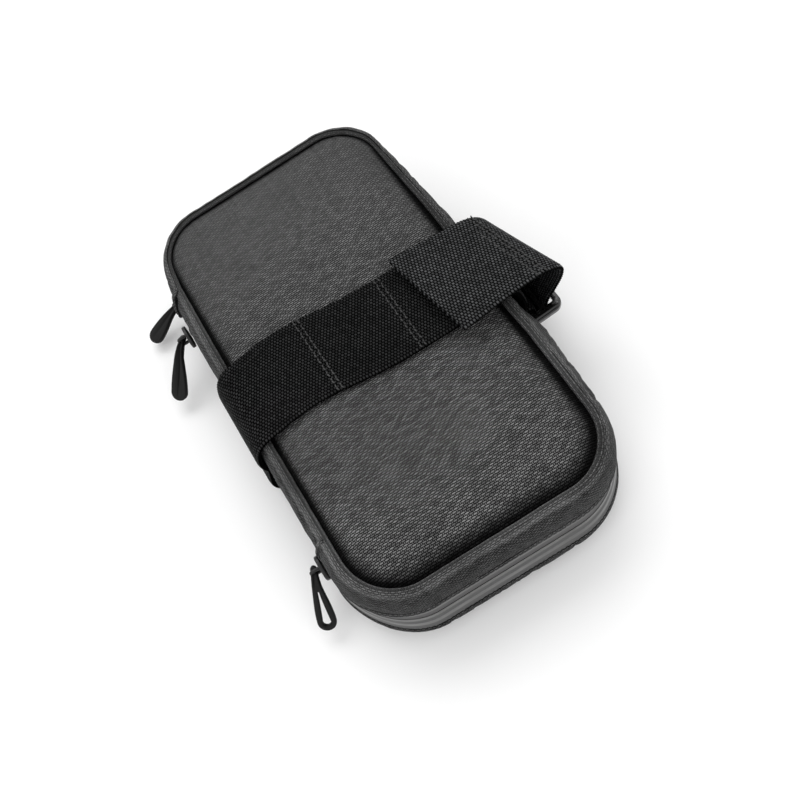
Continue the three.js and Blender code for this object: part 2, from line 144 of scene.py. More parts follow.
def floating_yarns():
    """Rows of yarn that float over the cloth, staggered row by row. The crossing yarn shows at the ties."""
    inputs = [
        ("Vector", None), ("Float Length", 0.0018), ("Row Pitch", 0.0006), ("Tie Height", 0.6), ("Wander", 0.1),
    ]
    t, given, out = effect_group("floating_yarns", inputs, ["Height", "Yarn Shade"])
    drift = t.add("ShaderNodeTexNoise", {"Vector": given["Vector"], "Scale": 240.0, "Detail": 2.0}).outputs[0]
    split = t.add("ShaderNodeSeparateXYZ", {0: given["Vector"]}).outputs
    shift = t.math("MULTIPLY", t.math("SUBTRACT", drift, 0.5), given["Wander"])
    v = t.math("ADD", t.math("DIVIDE", split[1], given["Row Pitch"]), shift)
    row = t.math("FLOOR", v)
    stagger = t.math("MULTIPLY", t.math("FLOORED_MODULO", row, 2.0), 0.5)
    u = t.math("ADD", t.math("ADD", t.math("DIVIDE", split[0], given["Float Length"]), stagger), shift)

    def hump(value):
        return t.math("SINE", t.math("MULTIPLY", t.math("FRACT", value), math.pi))

    from_middle = t.math("ABSOLUTE", t.math("SUBTRACT", t.math("FRACT", u), 0.5))
    bar = t.math("MULTIPLY", t.math("POWER", hump(v), 0.75), t.ramp(from_middle, 0.27, 0.36, 1.0, 0.0))
    tie = t.math("MULTIPLY", t.math("POWER", hump(v), 0.2), t.ramp(from_middle, 0.38, 0.44, 0.0, 1.0))
    tie = t.math("MULTIPLY", tie, given["Tie Height"])
    yarn = t.add("ShaderNodeCombineXYZ", {0: t.math("FLOOR", u), 1: row}).outputs[0]
    t.feed(out["Height"], t.math("MAXIMUM", bar, tie))
    t.feed(out["Yarn Shade"], t.add("ShaderNodeTexWhiteNoise", {"Vector": yarn}).outputs[0])
    return t.tree


def cloth_handling():
    """Soft variation from handling, a fine fibre noise, and a scatter of lint."""
    inputs = [("Vector", None), ("Patch Size", 30.0), ("Fibre Size", 2200.0)]
    t, given, out = effect_group("cloth_handling", inputs, ["Patches", "Fibres", "Lint"])
    patches = t.add("ShaderNodeTexNoise", {"Vector": given["Vector"], "Scale": given["Patch Size"], "Detail": 4.0})
    fibres = t.add("ShaderNodeTexNoise", {"Vector": given["Vector"], "Scale": given["Fibre Size"], "Detail": 2.0})
    specks = t.add("ShaderNodeTexVoronoi", {"Vector": given["Vector"], "Scale": 140.0})
    rarity = t.add("ShaderNodeTexWhiteNoise", {"Vector": specks.outputs["Position"]}).outputs[0]
    lint = t.math(
        "MULTIPLY", t.math("LESS_THAN", specks.outputs["Distance"], 0.05), t.math("GREATER_THAN", rarity, 0.93)
    )
    t.feed(out["Patches"], patches.outputs[0])
    t.feed(out["Fibres"], fibres.outputs[0])
    t.feed(out["Lint"], lint)
    return t.tree


def crease_crests():
    """The crests of a fabric's raised folds, for rubbed shine and a painted highlight: 1 on the crest of a crease."""
    inputs = [("Vector", None), ("Crease Size", 260.0), ("Sharpness", 8.0)]
    t, given, out = effect_group("crease_crests", inputs, ["Crest", "Relief"])
    bend = t.add("ShaderNodeTexNoise", {"Vector": given["Vector"], "Scale": 110.0, "Detail": 3.0}).outputs[1]
    shift = t.add("ShaderNodeVectorMath", {0: bend, 3: 0.004}, operation="SCALE").outputs[0]
    moved = t.add("ShaderNodeVectorMath", {0: given["Vector"], 1: shift}, operation="ADD").outputs[0]
    field = t.add(
        "ShaderNodeTexNoise", {"Vector": moved, "Scale": given["Crease Size"], "Detail": 3.0, "Roughness": 0.6}
    ).outputs[0]
    fold = t.math("ABSOLUTE", t.math("SUBTRACT", field, 0.5))
    crest = t.math("SUBTRACT", 1.0, t.math("MULTIPLY", fold, given["Sharpness"]), clamp=True)
    t.feed(out["Crest"], crest)
    t.feed(out["Relief"], field)
    return t.tree


YARNS, HANDLING, CREASES = floating_yarns(), cloth_handling(), crease_crests()


def material_base(name, **constants):
    """An empty material with a Principled BSDF whose constants are set on its sockets."""
    made = bpy.data.materials.new(name)
    made.use_nodes = True
    made.node_tree.nodes.clear()
    t = Tree(made.node_tree)
    surface = t.add("ShaderNodeBsdfPrincipled")
    t.add("ShaderNodeOutputMaterial", {0: surface.outputs[0]})
    for label, value in constants.items():
        surface.inputs[label.replace("_", " ")].default_value = value
    return made, t, surface


def coordinates(t, by_uv):
    return t.add("ShaderNodeTexCoord").outputs["UV" if by_uv else "Object"]


def woven(
    name, length, row, dark, light, rough, relief, by_uv=True, tie=0.6, crease=0.0, wander=0.1, sheen=0.1,
    gloss=0.4, evenness=0.5, painted_far_sheen=0.0, ditch=(), ridges=(), gap=0.4,
):
    """Woven fabric: dark between its yarns, light on their crowns.

    It may be creased with painted highlights on the crests, lightened by a painted sheen towards the far end, darkened
    by painted shade into the ditch at its edge, or rubbed along raised ridges with a painted highlight.
    """
    made, t, surface = material_base(
        name, Sheen_Weight=sheen, Sheen_Roughness=0.4, Sheen_Tint=(0.85, 0.87, 0.9, 1)
    )
    body = coordinates(t, False)
    where = coordinates(t, True) if by_uv else body
    yarns = t.add("ShaderNodeGroup", node_tree=YARNS)
    for label, value in (("Vector", where), ("Float Length", length), ("Row Pitch", row), ("Tie Height", tie),
                         ("Wander", wander)):
        t.feed(yarns.inputs[label], value)
    handled = t.add("ShaderNodeGroup", {"Vector": body}, node_tree=HANDLING)
    height = yarns.outputs["Height"]
    crown = t.ramp(height, gap, 0.98)
    crown = t.math("MULTIPLY", crown, t.ramp(yarns.outputs["Yarn Shade"], 0, 1, evenness, 1.0))
    crown = t.math("MULTIPLY", crown, t.ramp(handled.outputs["Patches"], 0.3, 0.7, 0.86, 1.08), clamp=True)
    colour = t.mix(crown, dark, light)
    roughness = t.ramp(crown, 0, 1, min(rough + 0.25, 1.0), rough)
    bump_height = t.math("MULTIPLY_ADD", handled.outputs["Fibres"], 0.12)
    t.feed(bump_height.node.inputs[2], height)
    bump = t.add("ShaderNodeBump", {"Strength": 1.0, "Distance": relief, "Height": bump_height})
    if crease:
        crease_field = t.add("ShaderNodeGroup", {"Vector": body}, node_tree=CREASES)
        crest = t.math("MULTIPLY", crease_field.outputs["Crest"], crease)
        crest = t.math("MULTIPLY", crest, t.ramp(crown, 0.2, 0.8), clamp=True)
        # painted highlight: the crease crests lightened in colour; the rubbed shine is the lower roughness below
        colour = t.mix(crest, colour, tuple(min(c * 3.2, 1) for c in light[:3]) + (1,))
        roughness = t.math("SUBTRACT", roughness, t.math("MULTIPLY", crest, 0.15))
        folds = t.add("ShaderNodeBump", {"Strength": 0.7, "Distance": 0.001, "Height": crease_field.outputs["Relief"]})
        t.feed(bump.inputs["Normal"], folds.outputs[0])
    # painted sheen: the panel lightened to a flat, streaky grey towards the far end, for the glare of the light beyond
    # it
    if painted_far_sheen:
        far = t.ramp(t.add("ShaderNodeSeparateXYZ", {0: body}).outputs[1], 0.0, 0.06, 0.0, painted_far_sheen)
        sheen_streaks = t.add("ShaderNodeTexNoise", {"Scale": 1.0, "Detail": 3.0})
        stretched = t.add("ShaderNodeMapping", {"Vector": body, "Scale": (900.0, 60.0, 1.0)})
        t.feed(sheen_streaks.inputs["Vector"], stretched.outputs[0])
        painted_sheen_colour = t.mix(t.ramp(sheen_streaks.outputs[0], 0.3, 0.7), grey(0.05), grey(0.075))
        colour = t.mix(far, colour, painted_sheen_colour)
    axes = t.add("ShaderNodeSeparateXYZ", {0: body}).outputs
    # rubbed wear and painted highlight: light streaks along the fold ridges at the given heights
    for level, spread, strength in ridges:
        near = t.ramp(t.math("ABSOLUTE", t.math("SUBTRACT", axes[2], level)), 0.0, spread, strength, 0.0)
        ridge_wear_and_highlight = t.math("MULTIPLY", near, t.ramp(handled.outputs["Patches"], 0.35, 0.65, 0.35, 1.0))
        colour = t.mix(t.math("MULTIPLY", ridge_wear_and_highlight, t.ramp(crown, 0.0, 0.8, 0.3, 1.0)), colour, grey(0.2))
    # painted shade: the panel darkened into the groove along its seam, widest at the near end
    if ditch:
        half_x, half_y, radius = ditch
        over_x = t.math("SUBTRACT", t.math("ABSOLUTE", axes[0]), half_x - radius)
        over_y = t.math("SUBTRACT", t.math("ABSOLUTE", axes[1]), half_y - radius)
        corner_x, corner_y = (t.math("MAXIMUM", over, 0.0) for over in (over_x, over_y))
        outside = t.add("ShaderNodeCombineXYZ", {0: corner_x, 1: corner_y}).outputs[0]
        beyond = t.add("ShaderNodeVectorMath", {0: outside}, operation="LENGTH").outputs["Value"]
        within = t.math("MINIMUM", t.math("MAXIMUM", over_x, over_y), 0.0)
        edge = t.math("SUBTRACT", t.math("SUBTRACT", radius, beyond), within)
        width = t.ramp(axes[1], -0.076, -0.045, 0.0065, 0.0024)
        depth = t.ramp(t.math("DIVIDE", edge, width), 0.12, 1.0, 0.93, 0.0)
        colour = t.mix(depth, colour, grey(0.002))
    colour = t.mix(handled.outputs["Lint"], colour, (0.22, 0.22, 0.22, 1))
    shine = t.ramp(crown, 0.0, 1.0, 0.02, gloss)
    # no reflection where the painted ditch shade lies
    if ditch:
        shine = t.math("MULTIPLY", shine, t.math("SUBTRACT", 1.0, depth))
    t.feed(surface.inputs["Base Color"], colour)
    t.feed(surface.inputs["Roughness"], roughness)
    t.feed(surface.inputs["Specular IOR Level"], shine)
    t.feed(surface.inputs["Normal"], bump.outputs[0])
    return made


def moulded(name, dark, light, rough, metallic=0.0, coat=0.0, gloss=0.5, grain=900.0, relief=0.00003):
    """Moulded or cast stock: fine grain, handling patches and a little unevenness in gloss."""
    made, t, surface = material_base(
        name, Metallic=metallic, Coat_Weight=coat, Coat_Roughness=0.12, Specular_IOR_Level=gloss
    )
    where = coordinates(t, False)
    sizes = {"Vector": where, "Patch Size": 90.0, "Fibre Size": grain}
    handled = t.add("ShaderNodeGroup", sizes, node_tree=HANDLING)
    patches, fibres = handled.outputs["Patches"], handled.outputs["Fibres"]
    t.feed(surface.inputs["Base Color"], t.mix(t.ramp(patches, 0.3, 0.75), dark, light))
    t.feed(surface.inputs["Roughness"], t.ramp(fibres, 0.2, 0.8, rough, rough + 0.12))
    bump = t.add("ShaderNodeBump", {"Strength": 0.5, "Distance": relief, "Height": fibres})
    t.feed(surface.inputs["Normal"], bump.outputs[0])
    return made


def satin_tape(name):
    """Coated zip tape: satin, with two raised stripes and a fine centre line along it (UV y runs across)."""
    made, t, surface = material_base(name, Specular_IOR_Level=0.5, Coat_Weight=0.15, Coat_Roughness=0.35)
    where = coordinates(t, True)
    across = t.add("ShaderNodeSeparateXYZ", {0: where}).outputs[1]
    sizes = {"Vector": where, "Patch Size": 60.0, "Fibre Size": 1500.0}
    handled = t.add("ShaderNodeGroup", sizes, node_tree=HANDLING)
    rib = t.math("SINE", t.math("MULTIPLY", across, 2 * math.pi / 0.0024))
    band = t.ramp(rib, -0.5, 0.6)
    colour = t.mix(band, (0.05, 0.05, 0.051, 1), (0.15, 0.15, 0.148, 1))
    colour = t.mix(t.ramp(handled.outputs["Patches"], 0.35, 0.7), colour, (0.075, 0.074, 0.073, 1))
    height = t.math("MULTIPLY_ADD", handled.outputs["Fibres"], 0.15)
    t.feed(height.node.inputs[2], band)
    bump = t.add("ShaderNodeBump", {"Strength": 0.8, "Distance": 0.00018, "Height": height})
    t.feed(surface.inputs["Base Color"], colour)
    t.feed(surface.inputs["Roughness"], t.ramp(band, 0, 1, 0.5, 0.32))
    t.feed(surface.inputs["Normal"], bump.outputs[0])
    return made


def grey(level, warmth=1.0):
    return (level * warmth, level, level / warmth, 1)


PANEL_NYLON = woven(
    "panel_nylon", 0.0020, 0.00070, grey(0.003), grey(0.22), 0.36, 0.00022, by_uv=False, tie=0.9, wander=0.1,
    sheen=0.02, evenness=0.4, painted_far_sheen=0.7, ditch=(HALF_WIDTH * MM, HALF_LENGTH * MM, CORNER * MM),
)
GUSSET_NYLON = woven(
    "gusset_nylon", 0.0017, 0.00066, grey(0.0015), grey(0.062), 0.5, 0.0002, tie=0.85, crease=0.22, sheen=0.01,
    evenness=0.55, wander=0.12, ridges=((0.0236, 0.0013, 1.0), (0.0372, 0.0014, 1.0)),
)
WEBBING = woven(
    "webbing", RIB_PITCH * MM, YARN_PITCH * MM, grey(0.0006), grey(0.025, 0.98), 0.6, 0.0003, tie=0.0,
    wander=0.04, gap=0.12, sheen=0.0, gloss=0.25, evenness=0.5,
)
# painted light: the tail is the strap's own black webbing, made lighter and a little blue for the key light that
# grazes it
TAIL_WEBBING_PAINTED_LIT = woven(
    "tail_webbing", RIB_PITCH * MM, YARN_PITCH * MM, grey(0.0015), grey(0.085, 0.97), 0.5, 0.0003, tie=0.0,
    wander=0.04, gap=0.15, sheen=0.01, gloss=0.35, evenness=0.45,
)
LINING = woven("lining_taffeta", 0.0008, 0.0004, grey(0.05), grey(0.12, 0.98), 0.6, 0.00004, by_uv=False)
ELASTIC = woven("elastic_binding", 0.0012, 0.0005, grey(0.004), grey(0.03), 0.7, 0.0001, by_uv=False)
HOOK_TAPE = woven(
    "hook_and_loop", 0.0012, 0.0012, grey(0.004), grey(0.02), 0.85, 0.0003, by_uv=False, wander=0.8
)
COATED_TAPE = satin_tape("coated_tape")
COIL_NYLON = moulded("coil_nylon", grey(0.006), grey(0.014), 0.35)
SLIDER_ZINC = moulded("slider_zinc", grey(0.02), grey(0.035), 0.3, metallic=0.7, grain=1600.0)
PULL_RUBBER = moulded("pull_rubber", grey(0.003), grey(0.007), 0.45, gloss=0.2, grain=1400.0, relief=0.00005)
BUCKLE_ACETAL = moulded(
    "buckle_acetal", grey(0.004), grey(0.008), 0.16, coat=0.4, grain=1200.0, relief=0.00002
)
FOAM = moulded("foam", grey(0.06), grey(0.09), 0.9, grain=1800.0, relief=0.0002)
STIFFENER = moulded("stiffener_sheet", grey(0.02), grey(0.03), 0.4)
THREAD = moulded("stitch_thread", grey(0.02), grey(0.05), 0.6, grain=5000.0, relief=0.00006)


# ---- meshes ----
def mesh_piece(name, verts, faces, material, uv=None):
    """A smooth-shaded object from points in millimetres, turned to face outwards."""
    mesh = bpy.data.meshes.new(name)
    mesh.from_pydata((np.asarray(verts, float) * MM).tolist(), [], [tuple(f) for f in faces])
    if uv is not None:
        flat = np.asarray(uv, float) * MM
        corners = np.zeros(len(mesh.loops), int)
        mesh.loops.foreach_get("vertex_index", corners)
        mesh.uv_layers.new(name="weave").data.foreach_set("uv", flat[corners].ravel())
    mesh.shade_smooth()
    mesh.materials.append(material)
    made = bpy.data.objects.new(name, mesh)
    SCENE.collection.objects.link(made)
    return made


def lengths(points):
    steps = np.linalg.norm(np.diff(points, axis=0), axis=1)
    return np.concatenate([[0], np.cumsum(steps)])


def smooth_line(points, count):
    """`count` evenly spaced points on the curve through the given ones."""
    points = np.asarray(points, float)
    padded = np.vstack([2 * points[0] - points[1], points, 2 * points[-1] - points[-2]])
    fine = []
    for a, b, c, d in zip(padded, padded[1:], padded[2:], padded[3:]):
        for s in np.linspace(0, 1, 16, endpoint=False):
            fine.append(
                0.5 * (2 * b + (c - a) * s + (2 * a - 5 * b + 4 * c - d) * s**2 + (3 * b - a - 3 * c + d) * s**3)
            )
    fine = np.array([*fine, points[-1]])
    along = lengths(fine)
    wanted = np.linspace(0, along[-1], count)
    return np.stack([np.interp(wanted, along, fine[:, k]) for k in range(fine.shape[1])], axis=1)


def grid_normals(grid, closed):
    """Unit normals of a grid whose rows run along and whose columns run across, outwards."""
    along = np.roll(grid, -1, 0) - np.roll(grid, 1, 0) if closed else np.gradient(grid, axis=0)
    across = np.gradient(grid, axis=1)
    normal = np.cross(across, along)
    return normal / np.maximum(np.linalg.norm(normal, axis=2, keepdims=True), 1e-9)


def sheet_faces(rows, columns, closed):
    """Faces of a front grid, a back grid behind it, and the rim between them."""
    front = np.arange(rows * columns).reshape(rows, columns)
    if closed:
        front = np.vstack([front, front[:1]])
    back = front + rows * columns
    faces = []
    for grid, turned in ((front, True), (back, False)):
        quads = np.stack([grid[:-1, :-1], grid[1:, :-1], grid[1:, 1:], grid[:-1, 1:]], axis=-1).reshape(-1, 4)
        faces.append(quads[:, ::-1] if turned else quads)
    rims = [(front[:, 0], back[:, 0], True), (front[:, -1], back[:, -1], False)]
    if not closed:
        rims += [(front[0], back[0], False), (front[-1], back[-1], True)]
    for f, b, turned in rims:
        quads = np.stack([f[:-1], f[1:], b[1:], b[:-1]], axis=-1)
        faces.append(quads[:, ::-1] if turned else quads)
    return np.concatenate(faces)[:, ::-1]


def sheet_piece(name, grid, thick, material, closed=False, uv=None):
    """A closed sheet `thick` deep behind the grid, with UVs in millimetres along and across."""
    grid = np.asarray(grid, float)
    rows, columns, _ = grid.shape
    back = grid - grid_normals(grid, closed) * thick
    if uv is None:
        u = lengths(grid[:, columns // 2])
        v = lengths(grid[rows // 2])
        uv = np.stack(np.meshgrid(u, v, indexing="ij"), axis=-1)
    uv = np.asarray(uv).reshape(-1, 2)
    verts = np.concatenate([grid.reshape(-1, 3), back.reshape(-1, 3)])
    return mesh_piece(name, verts, sheet_faces(rows, columns, closed), material, np.concatenate([uv, uv]))


def joined(name, *objects):
    """One object from several, in the first one's place."""
    with bpy.context.temp_override(
        active_object=objects[0], selected_objects=objects, selected_editable_objects=objects
    ):
        bpy.ops.object.join()
    objects[0].name = name
    return objects[0]


def seam_track(y_start, y_end, step=TRACK_STEP):
    """Points and outward directions round the seam line, from the hinge side round the near end."""
    cx, cy = HALF_WIDTH - CORNER, HALF_LENGTH - CORNER
    points, outs = [], []

    def straight(start, end, out):
        start, end = np.array(start), np.array(end)
        count = max(2, int(np.linalg.norm(end - start) / step))
        for i in range(count):
            points.append(start + (end - start) * i / count)
            outs.append(out)

    def corner(x, y, angle):
        count = int(CORNER * math.pi / 2 / step)
        for i in range(count):
            a = angle + math.pi / 2 * i / count
            out = np.array([math.cos(a), math.sin(a)])
            points.append(np.array([x, y]) + CORNER * out)
            outs.append(out)

    straight([-HALF_WIDTH, y_start], [-HALF_WIDTH, -cy], (-1, 0))
    corner(-cx, -cy, math.pi)
    straight([-cx, -HALF_LENGTH], [cx, -HALF_LENGTH], (0, -1))
    corner(cx, -cy, 1.5 * math.pi)
    straight([HALF_WIDTH, -cy], [HALF_WIDTH, cy], (1, 0))
    corner(cx, cy, 0)
    straight([cx, HALF_LENGTH], [-cx, HALF_LENGTH], (0, 1))
    corner(-cx, cy, math.pi / 2)
    straight([-HALF_WIDTH, cy], [-HALF_WIDTH, y_end], (-1, 0))
    if y_end > y_start:
        points.append(np.array([-HALF_WIDTH, y_end]))
        outs.append((-1, 0))
    return np.array(points), np.array(outs, float)


# How far each long side stands beyond the plain outline, by the place along it.
HINGE_SIDE_SWELL = ((-85, 0), (54, 0), (62, -2.6), (85, -3))
BUCKLE_SIDE_SWELL = (
    (-85, 0), (-60, 0.8), (-30, 2.2), (-20.5, 0.4), (-17, 0), (12, 0), (16, 0.3), (27, 0.8), (42, -0.9),
    (60, -2.4), (85, -3),
)
NEAR_BULGE = 3.4  # the near end's lower half leans out by this much


def smooth_share(value, low, high):
    share = np.clip((value - low) / (high - low), 0, 1)
    return share * share * (3 - 2 * share)


def swell(points, z):
    """How far the sides stand beyond the plain outline: full beside the strap, drawn in round the far end."""
    x, y = points[:, 0], points[:, 1]
    hinge_side, buckle_side = (np.interp(y, *zip(*table)) for table in (HINGE_SIDE_SWELL, BUCKLE_SIDE_SWELL))
    turn = smooth_share(x, -(HALF_WIDTH - CORNER), HALF_WIDTH - CORNER)
    amount = hinge_side + (buckle_side - hinge_side) * turn
    share = smooth_share(z, 1, 7) * (1 - 0.75 * smooth_share(z, 29, 35))
    middle_of_end = smooth_share(x, -43, -26) * (1 - smooth_share(x, 22, 50))
    near_end = smooth_share(-y, 56, 80) * middle_of_end
    lower_half = smooth_share(22 - z, 0, 13) * smooth_share(z, 0, 4)
    return amount[:, None] * share[None] + NEAR_BULGE * (near_end[:, None] * lower_half[None])


def swept(points, outs, line, swelling=True):
    """A grid of the outline's stations by the section's [out, z] points."""
    line = np.asarray(line, float)
    out = line[None, :, 0] + (swell(points, line[:, 1]) if swelling else 0.0)
    grid = np.zeros((len(points), len(line), 3))
    grid[..., :2] = points[:, None] + outs[:, None] * out[..., None]
    grid[..., 2] = line[None, :, 1]
    return grid


def rumple(grid, normals, strength, along, across, seed, edge=0.25):
    """Moves a grid in and out with soft folds that fade towards its sewn edges."""
    rows, columns, _ = grid.shape
    u, v = lengths(grid[:, columns // 2]), lengths(grid[rows // 2])
    fade = np.sin(np.linspace(0, math.pi, columns)) * (1 - edge) + edge
    moved = np.zeros((rows, columns))
    for i in range(rows):
        for j in range(columns):
            wave = noise.fractal(Vector((u[i] / along, v[j] / across, seed)), 0.9, 2.1, 4)
            moved[i, j] = wave * fade[j]
    return grid + normals * (moved * strength)[..., None]


def gathers(grid, normals, depth, spacing, seed):
    """Small puckers drawn in by the stitches at the sheet's first and last rows of points."""
    rows, columns, _ = grid.shape
    u = lengths(grid[:, 0])
    reach = np.linspace(0, 1, columns)
    near_edge = np.exp(-((reach / 0.22) ** 2)) + np.exp(-(((1 - reach) / 0.22) ** 2))
    drift = np.array([noise.noise(Vector((x / 14, seed, 0))) for x in u])
    wave = np.sin(2 * math.pi * u / spacing + 4 * drift) * (0.5 + drift)
    return grid + normals * (wave[:, None] * near_edge[None] * depth)[..., None]


def puffed(grid, sewn, pressure, grow, cap):
    """Lets padding push a sheet out between its sewn edges, as cloth under pressure."""
    rows, columns, _ = grid.shape
    index = np.arange(rows * columns).reshape(rows, columns)
    quads = np.stack([index[:-1, :-1], index[:-1, 1:], index[1:, 1:], index[1:, :-1]], axis=-1).reshape(-1, 4)
    # The simulation works ten times life size, where its forces are well scaled.
    scale, frames = 10, 20
    sheet = mesh_piece("puffing", grid.reshape(-1, 3) * scale, quads, FOAM)
    pins = sheet.vertex_groups.new(name="sewn")
    for level in np.unique(sewn):
        pins.add(np.flatnonzero(sewn.ravel() == level).tolist(), float(level), "REPLACE")
    cloth = sheet.modifiers.new("padding", "CLOTH")
    settings = cloth.settings
    settings.quality = 6
    settings.mass = 0.3
    settings.tension_stiffness = settings.compression_stiffness = 25
    settings.shear_stiffness = 8
    settings.bending_stiffness = 0.4
    settings.vertex_group_mass = "sewn"
    settings.shrink_min = -grow
    settings.use_pressure = True
    settings.uniform_pressure_force = pressure
    settings.effector_weights.gravity = 0
    cloth.collision_settings.use_collision = False
    for step in range(1, frames + 1):
        SCENE.frame_set(step)
    shown = sheet.evaluated_get(bpy.context.evaluated_depsgraph_get()).to_mesh()
    moved = np.zeros(rows * columns * 3)
    shown.vertices.foreach_get("co", moved)
    SCENE.frame_set(1)
    bpy.data.objects.remove(sheet)
    move = moved.reshape(rows, columns, 3) / MM / scale - grid
    size = np.linalg.norm(move, axis=2, keepdims=True)
    return grid + move * np.minimum(1, cap / np.maximum(size, 1e-9))


def curve_tube(name, points, radius, material, closed=False, sides=8):
    """A round tube in millimetres along a line of points."""
    points = np.asarray(points, float)
    tangents = np.roll(points, -1, 0) - np.roll(points, 1, 0) if closed else np.gradient(points, axis=0)
    tangents /= np.linalg.norm(tangents, axis=1, keepdims=True)
    side = np.cross(tangents, (0, 0, 1.0))
    side[np.linalg.norm(side, axis=1) < 1e-3] = (0, 1.0, 0)
    side /= np.linalg.norm(side, axis=1, keepdims=True)
    above = np.cross(side, tangents)
    turn = np.linspace(0, 2 * math.pi, sides, endpoint=False)
    radius = np.broadcast_to(np.asarray(radius, float), (len(points),))
    rings = points[:, None] + radius[:, None, None] * (
        side[:, None] * np.cos(turn)[None, :, None] + above[:, None] * np.sin(turn)[None, :, None]
    )
    count = len(points)
    faces = []
    for i in range(count if closed else count - 1):
        a, b = i * sides, (i + 1) % count * sides
        faces += [(a + k, a + (k + 1) % sides, b + (k + 1) % sides, b + k) for k in range(sides)]
    if not closed:
        faces += [tuple(range(sides))[::-1], tuple((count - 1) * sides + k for k in range(sides))]
    uv = np.stack(np.meshgrid(lengths(points), turn * radius.mean(), indexing="ij"), axis=-1).reshape(-1, 2)
    made = mesh_piece(name, rings.reshape(-1, 3), faces, material, uv)
    facing_out(made)
    return made


def facing_out(piece):
    work = bmesh.new()
    work.from_mesh(piece.data)
    bmesh.ops.recalc_face_normals(work, faces=work.faces)
    work.to_mesh(piece.data)
    work.free()


# ---- Geometry Nodes: what repeats along a line ----
def repeat_tree():
    """Sets copies of a shape along a line, evenly spaced, turned to follow it."""
    tree = bpy.data.node_groups.new("repeat_along", "GeometryNodeTree")
    face = tree.interface
    face.new_socket("Geometry", in_out="OUTPUT", socket_type="NodeSocketGeometry")
    face.new_socket("Geometry", in_out="INPUT", socket_type="NodeSocketGeometry")
    for label, kind in (
        ("Spacing", "NodeSocketFloat"),
        ("Unevenness", "NodeSocketFloat"),
        ("Shape", "NodeSocketObject"),
        ("Finish", "NodeSocketMaterial"),
        ("Seed", "NodeSocketInt"),
    ):
        face.new_socket(label, in_out="INPUT", socket_type=kind)
    t = Tree(tree)
    given = t.add("NodeGroupInput").outputs
    line = t.add("GeometryNodeMeshToCurve", {0: given["Geometry"]}).outputs[0]
    evenly = {"Curve": line, "Length": given["Spacing"]}
    stations = t.add("GeometryNodeResampleCurve", evenly, mode="LENGTH").outputs[0]
    points = t.add("GeometryNodeCurveToPoints", {0: stations}, mode="EVALUATED").outputs
    reach = {0: (-1.0, -1.0, -1.0), 1: (1.0, 1.0, 1.0), "Seed": given["Seed"]}
    wobble = t.add("FunctionNodeRandomValue", reach, data_type="FLOAT_VECTOR").outputs[0]
    turn = t.add("ShaderNodeVectorMath", {0: wobble, 3: given["Unevenness"]}, operation="SCALE").outputs[0]
    turned = {0: points["Rotation"], "Rotate By": turn}
    spun = t.add("FunctionNodeRotateEuler", turned, rotation_type="EULER", space="LOCAL").outputs[0]
    shape = t.add("GeometryNodeObjectInfo", {"Object": given["Shape"]}).outputs["Geometry"]
    copies = {"Points": points[0], "Instance": shape, "Rotation": spun}
    placed = t.add("GeometryNodeInstanceOnPoints", copies).outputs[0]
    real = t.add("GeometryNodeRealizeInstances", {0: placed}).outputs[0]
    finished = t.add("GeometryNodeSetMaterial", {"Geometry": real, "Material": given["Finish"]}).outputs[0]
    t.feed(t.add("NodeGroupOutput").inputs[0], finished)
    return tree


REPEAT = repeat_tree()


def repeated(name, line, shape, spacing, material, unevenness=0.0, seed=1):
    """Copies of `shape` (drawn along z) every `spacing` millimetres along the line, as one mesh."""
    line = np.asarray(line, float) * MM
    path = bpy.data.meshes.new(name + "_line")
    path.from_pydata(line.tolist(), [(i, i + 1) for i in range(len(line) - 1)], [])
    carrier = bpy.data.objects.new(name + "_line", path)
    SCENE.collection.objects.link(carrier)
    nodes = carrier.modifiers.new("repeat", "NODES")
    nodes.node_group = REPEAT
    values = {
        "Spacing": spacing * MM, "Unevenness": unevenness, "Shape": shape, "Finish": material, "Seed": seed,
    }
    for socket in REPEAT.interface.items_tree:
        if socket.in_out == "INPUT" and socket.name in values:
            nodes[socket.identifier] = values[socket.name]
    shown = carrier.evaluated_get(bpy.context.evaluated_depsgraph_get())
    mesh = bpy.data.meshes.new_from_object(shown)
    mesh.name = name
    mesh.shade_smooth()
    made = bpy.data.objects.new(name, mesh)
    SCENE.collection.objects.link(made)
    bpy.data.objects.remove(carrier)
    return made


def hidden_shape(piece):
    """A shape that is only copied, and isn't shown itself."""
    SCENE.collection.objects.unlink(piece)
    return piece


def stitch_shape(length, radius=0.3):
    """One stitch: a thread that dips at both ends, along z."""
    s = np.linspace(-1, 1, 7)
    points = np.stack([0.28 * (1 - s**2) - 0.16, np.zeros(7), s * length / 2], axis=1)
    return hidden_shape(curve_tube("stitch_shape", points, radius * (1 - 0.35 * s**2), THREAD, sides=6))


def coil_shape():
    """One turn of the zip coil: a flattened loop across the line."""
    a = np.linspace(0, 2 * math.pi, 12, endpoint=False)
    points = np.stack([0.55 * np.cos(a), 1.15 * np.sin(a), 0.25 * np.sin(2 * a)], axis=1)
    return hidden_shape(curve_tube("coil_shape", points, 0.27, COIL_NYLON, closed=True, sides=6))


